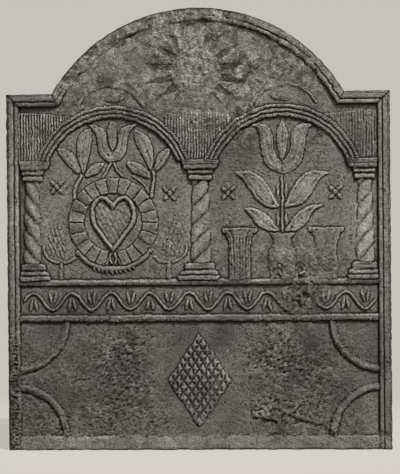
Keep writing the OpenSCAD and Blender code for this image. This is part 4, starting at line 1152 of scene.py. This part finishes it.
cloud = spread(patina, noise(patina, place, 26, 5.0, 0.62, 1.4), 0.36, 0.64, -1.0, 1.0)
cloud = maths(patina, "MULTIPLY", cloud, g_in.outputs["Strength"])
vein = maths(patina, "MULTIPLY", vein_lines(34, 4.0, 2.0, 0.012), g_in.outputs["Strength"])
crack = maths(patina, "MULTIPLY", vein_lines(12, 3.0, 1.0, 0.036), g_in.outputs["Cracks"])
patina.links.new(maths(patina, "ADD", cloud, 1.0), g_out.inputs["Tone"])
patina.links.new(maths(patina, "MAXIMUM", vein, crack), g_out.inputs["Veins"])
print("group", patina.name, "has", len(patina.nodes), "nodes")

# %% Rust bloom
bloom, g_in, g_out = new_group(
    "rust_bloom", [("Size", "NodeSocketFloat", 40.0)], [("Mask", "NodeSocketFloat")]
)
scale = maths(bloom, "DIVIDE", 1000.0, g_in.outputs["Size"])
cloud = add_node(bloom, "ShaderNodeTexNoise", inputs={
    "Vector": object_place(bloom), "Scale": scale, "Detail": 5.0, "Roughness": 0.6,
}).outputs["Fac"]
bloom.links.new(spread(bloom, cloud, 0.42, 0.66), g_out.inputs["Mask"])
print("group", bloom.name, "has", len(bloom.nodes), "nodes")

# %% [markdown]
# ## The two finishes
#
# The ground is the darker, duller iron, and the relief is the same iron seen a little lighter,
# because its crests are rubbed. Each material places the same groups with values of its own. They
# could be one material, but two let whoever uses the part recolour the ground and the relief
# separately. Colours are layered as on the real plate: iron, bloom, rub, tone and dirt on top, and
# the tone and dirt also carry painted shade.


# %% Colour helpers
def mix_colour(tree, fac, a, b, blend="MIX"):
    """Colour a with colour b laid over it by a factor."""
    node = add_node(tree, "ShaderNodeMix", {"data_type": "RGBA", "blend_type": blend}, {
        0: fac, 6: a, 7: b,
    })
    return node.outputs[2]


def grey(value, warmth=1.0):
    """A warm grey from its linear brightness."""
    return (value * (1 + 0.04 * warmth), value, value * (1 - 0.105 * warmth), 1)


def read(tree, key):
    """A point value of the mesh, as an output to join."""
    return add_node(tree, "ShaderNodeAttribute", {"attribute_name": key}).outputs["Fac"]


def placed(tree, group, inputs):
    """A node group placed in a material with its own values, as its outputs."""
    return add_node(tree, "ShaderNodeGroup", {"node_tree": group}, inputs).outputs


SOOT_AND_SHADE = grey(0.006)
print("soot:", [round(v, 4) for v in SOOT_AND_SHADE])

# %% Layers of the iron's colour
WARMER = (1.09, 1.0, 0.94, 1)


def rubbed_iron(tree, rough_value, speckle, rub_mask, dark, plain, bright):
    """Speckled iron with a warm bloom where it is rough, and bright crests."""
    colour = mix_colour(tree, spread(tree, speckle, 0.34, 0.6), grey(dark), grey(plain))
    bloom_mask = placed(tree, bloom, {"Size": 42.0})["Mask"]
    rust_mask = maths(tree, "MULTIPLY", bloom_mask, spread(tree, rough_value, 0.3, 1.0, 0.1, 0.9))
    rusty = mix_colour(tree, 1.0, colour, WARMER, "MULTIPLY")
    colour = mix_colour(tree, rust_mask, colour, rusty)
    return mix_colour(tree, rub_mask, colour, grey(bright, 0.7))


def toned(tree, colour, clouds):
    """A colour made lighter or darker by the point's tone and the patina's clouds."""
    tone_value = maths(tree, "MULTIPLY", read(tree, "tone"), clouds)
    tone_colour = add_node(tree, "ShaderNodeCombineColor", inputs={
        "Red": tone_value, "Green": tone_value, "Blue": tone_value,
    }).outputs["Color"]
    return mix_colour(tree, 1.0, colour, tone_colour, "MULTIPLY")


def sooty_and_shaded(tree, colour, crest_value, veins, specks):
    """A colour with soot and painted shade in its corners, and soot in its veins and pits."""
    mask = placed(tree, dirt_and_shade, {
        "Crest": crest_value, "Hollow": read(tree, "hollow"), "Shelter": read(tree, "shelter"),
        "Amount": 1.0,
    })["Mask"]
    mask = maths(tree, "MAXIMUM", mask, veins)
    mask = maths(tree, "MAXIMUM", mask, maths(tree, "MULTIPLY", specks, 0.8))
    return mix_colour(tree, mask, colour, SOOT_AND_SHADE)


print("warm bloom:", WARMER[:3])


# %% Iron materials
def iron(name, dark, plain, bright):
    """An iron finish from three greys: two for the sandy skin and one for rubbed crests."""
    material = bpy.data.materials.new(name)
    material.use_nodes = True
    tree = material.node_tree
    crest_value, rough_value, stain_value = (read(tree, k) for k in ("crest", "rough", "stain"))
    skin_out = placed(tree, skin, {"Roughness Map": rough_value, "Pits": 1.0})
    speckle = skin_out["Speckle"]
    rub_mask = placed(tree, rubbed, {"Crest": crest_value, "Speckle": speckle})["Mask"]
    patina_out = placed(tree, patina, {
        "Strength": spread(tree, stain_value, 0.1, 0.9, 0.1, 0.75),
        "Cracks": spread(tree, stain_value, 0.05, 0.9, 0.3, 0.95),
    })
    colour = rubbed_iron(tree, rough_value, speckle, rub_mask, dark, plain, bright)
    colour = toned(tree, colour, patina_out["Tone"])
    colour = sooty_and_shaded(tree, colour, crest_value, patina_out["Veins"], skin_out["Specks"])
    bump = add_node(tree, "ShaderNodeBump", inputs={
        "Strength": 1.0, "Distance": 0.0034, "Height": skin_out["Height"],
    })

    shader = tree.nodes["Principled BSDF"]
    tree.links.new(colour, shader.inputs["Base Color"])
    tree.links.new(spread(tree, rub_mask, 0, 1, 0.74, 0.5), shader.inputs["Roughness"])
    tree.links.new(bump.outputs["Normal"], shader.inputs["Normal"])
    shader.inputs["Metallic"].default_value = 0.15
    shader.inputs["Specular IOR Level"].default_value = 0.2
    return material


ground_finish = iron("ground_finish", dark=0.068, plain=0.115, bright=0.18)
relief_finish = iron("relief_finish", dark=0.072, plain=0.125, bright=0.19)
print("materials:", [m.name for m in (ground_finish, relief_finish)])

# %% [markdown]
# ## The relief pieces
#
# Now every carved piece is built from its worn sheet. Low pieces that rusted with the ground
# share its finish. The wreath's ring also carries the ground inside it, because the strokes in
# the heart are too fine for the slab. All of them could be one mesh, but whoever uses the part may
# want to take a piece out. Each is lifted by a hair's breadth of its own, because two surfaces in
# the same place would flicker.

# %% Build the relief
FOOT_ZONE = 3.5
WREATH_FIELD_R = 60
FIELD_NODES = {
    "wreath_ring", "left_reeds", "middle_reeds", "right_reeds", "left_head_spray",
    "right_head_spray", "left_sapling", "right_sapling", "left_basket", "right_basket",
}
for k, n in enumerate(RELIEF_NODES):
    here = windows[n]
    near = soften((cast[n] > 0.2).astype(float), FOOT_ZONE / 2)
    if n == "wreath_ring":
        near = np.maximum(near, round_places(n, wreath_x, wreath_z)[0] < WREATH_FIELD_R)
    lift = 0.1 + 0.015 * (k % 7)
    falling = np.clip((0.1 - near) / 0.09, 0, 1)
    heights = relief[n] + ground[here] + lift - falling * (lift + 0.6)
    keep = (near > 0.012) & (inside_outline(X[here], Z[here]) > -0.01)
    in_field = n in FIELD_NODES
    finish = ground_finish if in_field else relief_finish
    slot_name = "field_iron" if in_field else "worn_relief_iron"
    piece = cast_shell(n + "_cast", heights, keep, *here, finish, slot_name)
    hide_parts(n)
    print(n, len(piece.data.polygons), "faces")

# %% [markdown]
# ## The slab
#
# The slab is a flat casting with a grainy face, an uneven edge and an open-poured back, which
# cools rough. Its face needs fine cells only where it can be seen, so the parts under the reliefs
# are filled with a few large triangles, and the back has larger cells. One even grid would be
# simpler, but most of its faces would lie where nobody sees them.


# %% Grid over the slab
def outline_grid(cell):
    """Grid points whose lines meet the slab's straight sides, and the cells in its outline."""
    xs = np.linspace(-HALF_W, HALF_W, int(round(2 * HALF_W / cell)) + 1)
    zs = np.linspace(0, SHOULDER, int(round(SHOULDER / cell)) + 1)
    step = zs[1] - zs[0]
    zs = np.concatenate([zs, SHOULDER + step * np.arange(1, int(HEAD_RISE / step) + 2)])
    x, z = np.meshgrid(xs, zs)
    mid_x, mid_z = (x[:-1, :-1] + x[1:, 1:]) / 2, (z[:-1, :-1] + z[1:, 1:]) / 2
    cells = (mid_z < SHOULDER) | (np.hypot(mid_x, mid_z - HEAD_CENTRE) < HEAD_R)
    return x.ravel(), z.ravel(), unpinched(cells), mid_x, mid_z


FRONT_CELL, BACK_CELL = 2.4, 6.5
x, z, cells, mid_x, mid_z = outline_grid(FRONT_CELL)
under_relief = read_at(cover, mid_x, mid_z) > 0.97
hidden = under_relief & (inside_outline(mid_x, mid_z) > 3 * FRONT_CELL)
seen_cells = unpinched(cells & ~hidden)
quads = grid_faces(seen_cells)[0]
patches = row_strips(cells & ~seen_cells, x, z)
outline = grid_faces(cells)[1]
edge = np.unique(outline)
arc = edge[z[edge] > SHOULDER + 0.1]
stretch = HEAD_R / np.hypot(x[arc], z[arc] - HEAD_CENTRE)
x[arc], z[arc] = x[arc] * stretch, HEAD_CENTRE + (z[arc] - HEAD_CENTRE) * stretch
print("front cells:", len(quads), "hidden:", int(hidden.sum()))

# %% Front and edge of the slab
used = np.unique(quads)
number, edge_number = np.full(x.size, -1), np.full(x.size, -1)
number[used], edge_number[edge] = np.arange(len(used)), np.arange(len(edge))
front_x, front_z = edge_shift(x[used], z[used], 0.5, 0.7)
front = np.stack([front_x, FACE_Y - under_limit(read_at(ground, front_x, front_z)), front_z], 1)

BACK_BEVEL = 0.7
EDGE_LEVELS = 4
back_x, back_z = edge_shift(x[edge], z[edge], 0, 0.9)
back_ring = np.stack([back_x, np.full_like(back_x, BACK_Y - BACK_BEVEL), back_z], 1)
levels = []
for k in range(1, EDGE_LEVELS):
    t = k / EDGE_LEVELS
    dent = np.clip(0.3 + 0.25 * read_at(fine, x[edge] + 9 * k, z[edge]), 0.05, 0.9)
    level = front[number[edge]] * (1 - t) + back_ring * t
    levels.append(level + inward_from(x[edge], z[edge]) * dent[:, None])
levels.append(back_ring)
print("points round the edge:", len(edge))

# %% Back of the slab
bx, bz, back_cells, mid_x, mid_z = outline_grid(BACK_CELL)
back_cells = unpinched(back_cells & (inside_outline(mid_x, mid_z) > 5))
back_quads, back_border = grid_faces(back_cells)
back_used = np.unique(back_quads)
back_number = np.full(bx.size, -1)
back_number[back_used] = np.arange(len(back_used))
bx, bz = bx[back_used], bz[back_used]
pour = read_at(middling + 0.7 * mottle(24, 12), bx, bz)
back = np.stack([bx, BACK_Y - np.clip(0.75 + 0.55 * pour, 0, 2.4), bz], 1)
print("back cells:", len(back_quads))

# %% [markdown]
# ## Joining the slab
#
# Front, edge and back are now three sets of points. The edge is stitched level by level, and the
# back, whose grid is coarser, is joined to the last level by a strip that runs along both lines
# at once. Blender's Bridge Edge Loops joins two such lines as well, but it works on a mesh in edit
# mode, and here they are still lists of points.

# %% Join the slab
blocks = [front] + levels + [back]
starts = np.concatenate([[0], np.cumsum([len(b) for b in blocks])])
points = np.concatenate(blocks)


def at_level(k, corner):
    """Number of an outline point at a level of the edge, from 0 at the front."""
    return number[corner] if k == 0 else starts[k] + edge_number[corner]


faces = number[quads].tolist() + number[patches].tolist()
faces += (starts[-2] + back_number[back_quads][:, ::-1]).tolist()
outer = [int(at_level(EDGE_LEVELS, c)) for c in ordered_loop(outline)]
inner = [int(starts[-2] + back_number[c]) for c in ordered_loop(back_border)]
first = np.argmin(np.hypot(*(points[inner][:, [0, 2]] - points[outer[0], [0, 2]]).T))
inner = inner[first:] + inner[:first]
strip = zipped(outer + outer[:1], inner + inner[:1], points[:, 0], points[:, 2])
faces += [face[::-1] for face in strip]
smooth_count = len(faces)
p, q = outline.T
for k in range(EDGE_LEVELS):
    wall = [at_level(k, q), at_level(k, p), at_level(k + 1, p), at_level(k + 1, q)]
    faces += np.stack(wall, 1).tolist()
print("slab points:", len(points), "faces:", len(faces))

# %% Finish the slab
BEHIND_VALUES = {"crest": 0, "hollow": 0, "shelter": 0, "tone": 0.9}
values = point_values(points[:, 0], points[:, 2])
behind = np.arange(len(points)) >= starts[1]
for key, plain in BEHIND_VALUES.items():
    values[key] = np.where(behind, plain, values[key])
slab = add_piece("slab_cast", points, faces, smooth_count, ground_finish, values)
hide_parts("back_plate")
print("slab points behind the face:", int(behind.sum()))

# %% [markdown]
# ## Floor
#
# The plate stands on a plain pale floor. The camera sees floor and distance in the same pale
# grey, and the floor keeps the soft shadow at the plate's foot. A brighter lamp would make the
# floor pale too, but it would bleach the iron. So the floor glows a little for the camera only,
# more and more with distance, and no line shows where it ends.


# %% Pale floor
PALE = (0.565, 0.539, 0.503, 1)
FLOOR_HALF = 7


def seen_directly(tree):
    """1 for the camera's rays and for those that a gloss or glass sends on."""
    path = add_node(tree, "ShaderNodeLightPath").outputs
    mirrored = maths(tree, "MAXIMUM", path["Is Glossy Ray"], path["Is Transmission Ray"])
    return maths(tree, "MAXIMUM", path["Is Camera Ray"], mirrored)


def pale_floor():
    """Pale card that takes shadows near the plate and only glows far from it."""
    material = bpy.data.materials.new("pale_floor")
    material.use_nodes = True
    tree = material.node_tree
    card = tree.nodes["Principled BSDF"]
    card.inputs["Base Color"].default_value = PALE
    card.inputs["Roughness"].default_value = 0.9
    card.inputs["Specular IOR Level"].default_value = 0.0
    glow = add_node(tree, "ShaderNodeEmission", inputs={"Color": PALE})
    away = add_node(tree, "ShaderNodeVectorMath", {"operation": "LENGTH"}, {
        0: object_place(tree),
    }).outputs["Value"]
    share = spread(tree, away, 0.3, 1.3, 0.82, 1.0)
    blend = add_node(tree, "ShaderNodeMixShader", inputs={
        0: maths(tree, "MULTIPLY", seen_directly(tree), share),
        1: card.outputs[0], 2: glow.outputs[0],
    })
    tree.links.new(blend.outputs[0], tree.nodes["Material Output"].inputs["Surface"])
    return material


mesh = bpy.data.meshes.new("floor")
corners = [(-1, -1), (1, -1), (1, 1), (-1, 1)]
mesh.from_pydata([(FLOOR_HALF * a, FLOOR_HALF * b, 0) for a, b in corners], [], [[0, 1, 2, 3]])
mesh.materials.append(pale_floor())
floor = bpy.data.objects.new("floor", mesh)
bpy.context.scene.collection.objects.link(floor)
print("floor:", 2 * FLOOR_HALF, "metres square")

# %% [markdown]
# ## Light
#
# Relief is read by its shadows, so one hard lamp rakes it from above and from the right. A weak
# wide lamp and a dim sky fill the shadows a little, as the walls of a room do. The sky is
# brighter behind the plate, which only its back can see, so that the back isn't lost in the dark
# when the part is turned. An image of a room could light it too, but it would need a file.

# %% World
SKY_STRENGTH, BEHIND_STRENGTH = 0.09, 0.8
world = bpy.data.worlds.new("pale_room")
bpy.context.scene.world = world
world.use_nodes = True
tree = world.node_tree
ambient = tree.nodes["Background"]
ambient.inputs["Color"].default_value = (0.94, 0.97, 1, 1)
direction = add_node(tree, "ShaderNodeTexCoord").outputs["Generated"]
behind = add_node(tree, "ShaderNodeSeparateXYZ", inputs={0: direction}).outputs["Y"]
strength = spread(tree, behind, 0.0, 0.5, SKY_STRENGTH, BEHIND_STRENGTH)
tree.links.new(strength, ambient.inputs["Strength"])
distance = add_node(tree, "ShaderNodeBackground", inputs={"Color": PALE, "Strength": 1.0})
blend = add_node(tree, "ShaderNodeMixShader", inputs={
    0: seen_directly(tree), 1: ambient.outputs[0], 2: distance.outputs[0],
})
tree.links.new(blend.outputs[0], tree.nodes["World Output"].inputs["Surface"])
print("sky strength:", SKY_STRENGTH, "in front,", BEHIND_STRENGTH, "behind")

# %% Lamps
PLATE_MIDDLE = Vector((0, 0, 0.42))


def place_lamp(name, kind, toward, power, colour, away=3.0, **settings):
    """A lamp that stands away from the plate's middle in one direction and faces it."""
    data = bpy.data.lights.new(name, kind)
    data.energy, data.color = power, colour
    for key, value in settings.items():
        setattr(data, key, value)
    lamp = bpy.data.objects.new(name, data)
    direction = Vector(toward).normalized()
    lamp.location = PLATE_MIDDLE + direction * away
    lamp.rotation_mode = "QUATERNION"
    lamp.rotation_quaternion = direction.to_track_quat("Z", "Y")
    bpy.context.scene.collection.objects.link(lamp)
    return lamp


sun = place_lamp("key_sun", "SUN", (0.34, -0.5, 0.8), 7.2, (1.0, 0.985, 0.96),
                 angle=math.radians(3))
fill = place_lamp("top_lamp", "AREA", (0.1, -0.8, 1.0), 3, (1.0, 0.99, 0.97), away=1.3, size=0.7)
print("lamps:", [lamp.name for lamp in (sun, fill)])

# %% [markdown]
# ## Camera
#
# A plate is photographed square-on with a long lens, so that its sides stay parallel. The camera
# stands three metres away. It is turned and rolled by small angles, because the photographer
# didn't quite stand in the middle. A shift lens would keep the camera straight, but the leaning
# sides that the small turn gives are part of the look.

# %% Camera
CAMERA_AT = Vector((0.130, -3.0, 0.409))
CAMERA_TURN, CAMERA_TILT, CAMERA_ROLL = 2.42, -0.277, -0.485  # degrees
LENS = 145.8
camera_data = bpy.data.cameras.new("camera")
camera_data.sensor_fit = "HORIZONTAL"
camera_data.sensor_width = 36
camera_data.lens = LENS
camera = bpy.data.objects.new("camera", camera_data)
camera.location = CAMERA_AT
camera.rotation_mode = "QUATERNION"
camera.rotation_quaternion = (
    Matrix.Rotation(math.radians(CAMERA_TURN), 3, "Z")
    @ Matrix.Rotation(math.radians(90 + CAMERA_TILT), 3, "X")
    @ Matrix.Rotation(math.radians(CAMERA_ROLL), 3, "Z")
).to_quaternion()
bpy.context.scene.collection.objects.link(camera)
bpy.context.scene.camera = camera
bpy.context.scene.view_settings.view_transform = "Standard"
print("camera at", [round(v, 3) for v in camera.location], "lens", LENS, "mm")
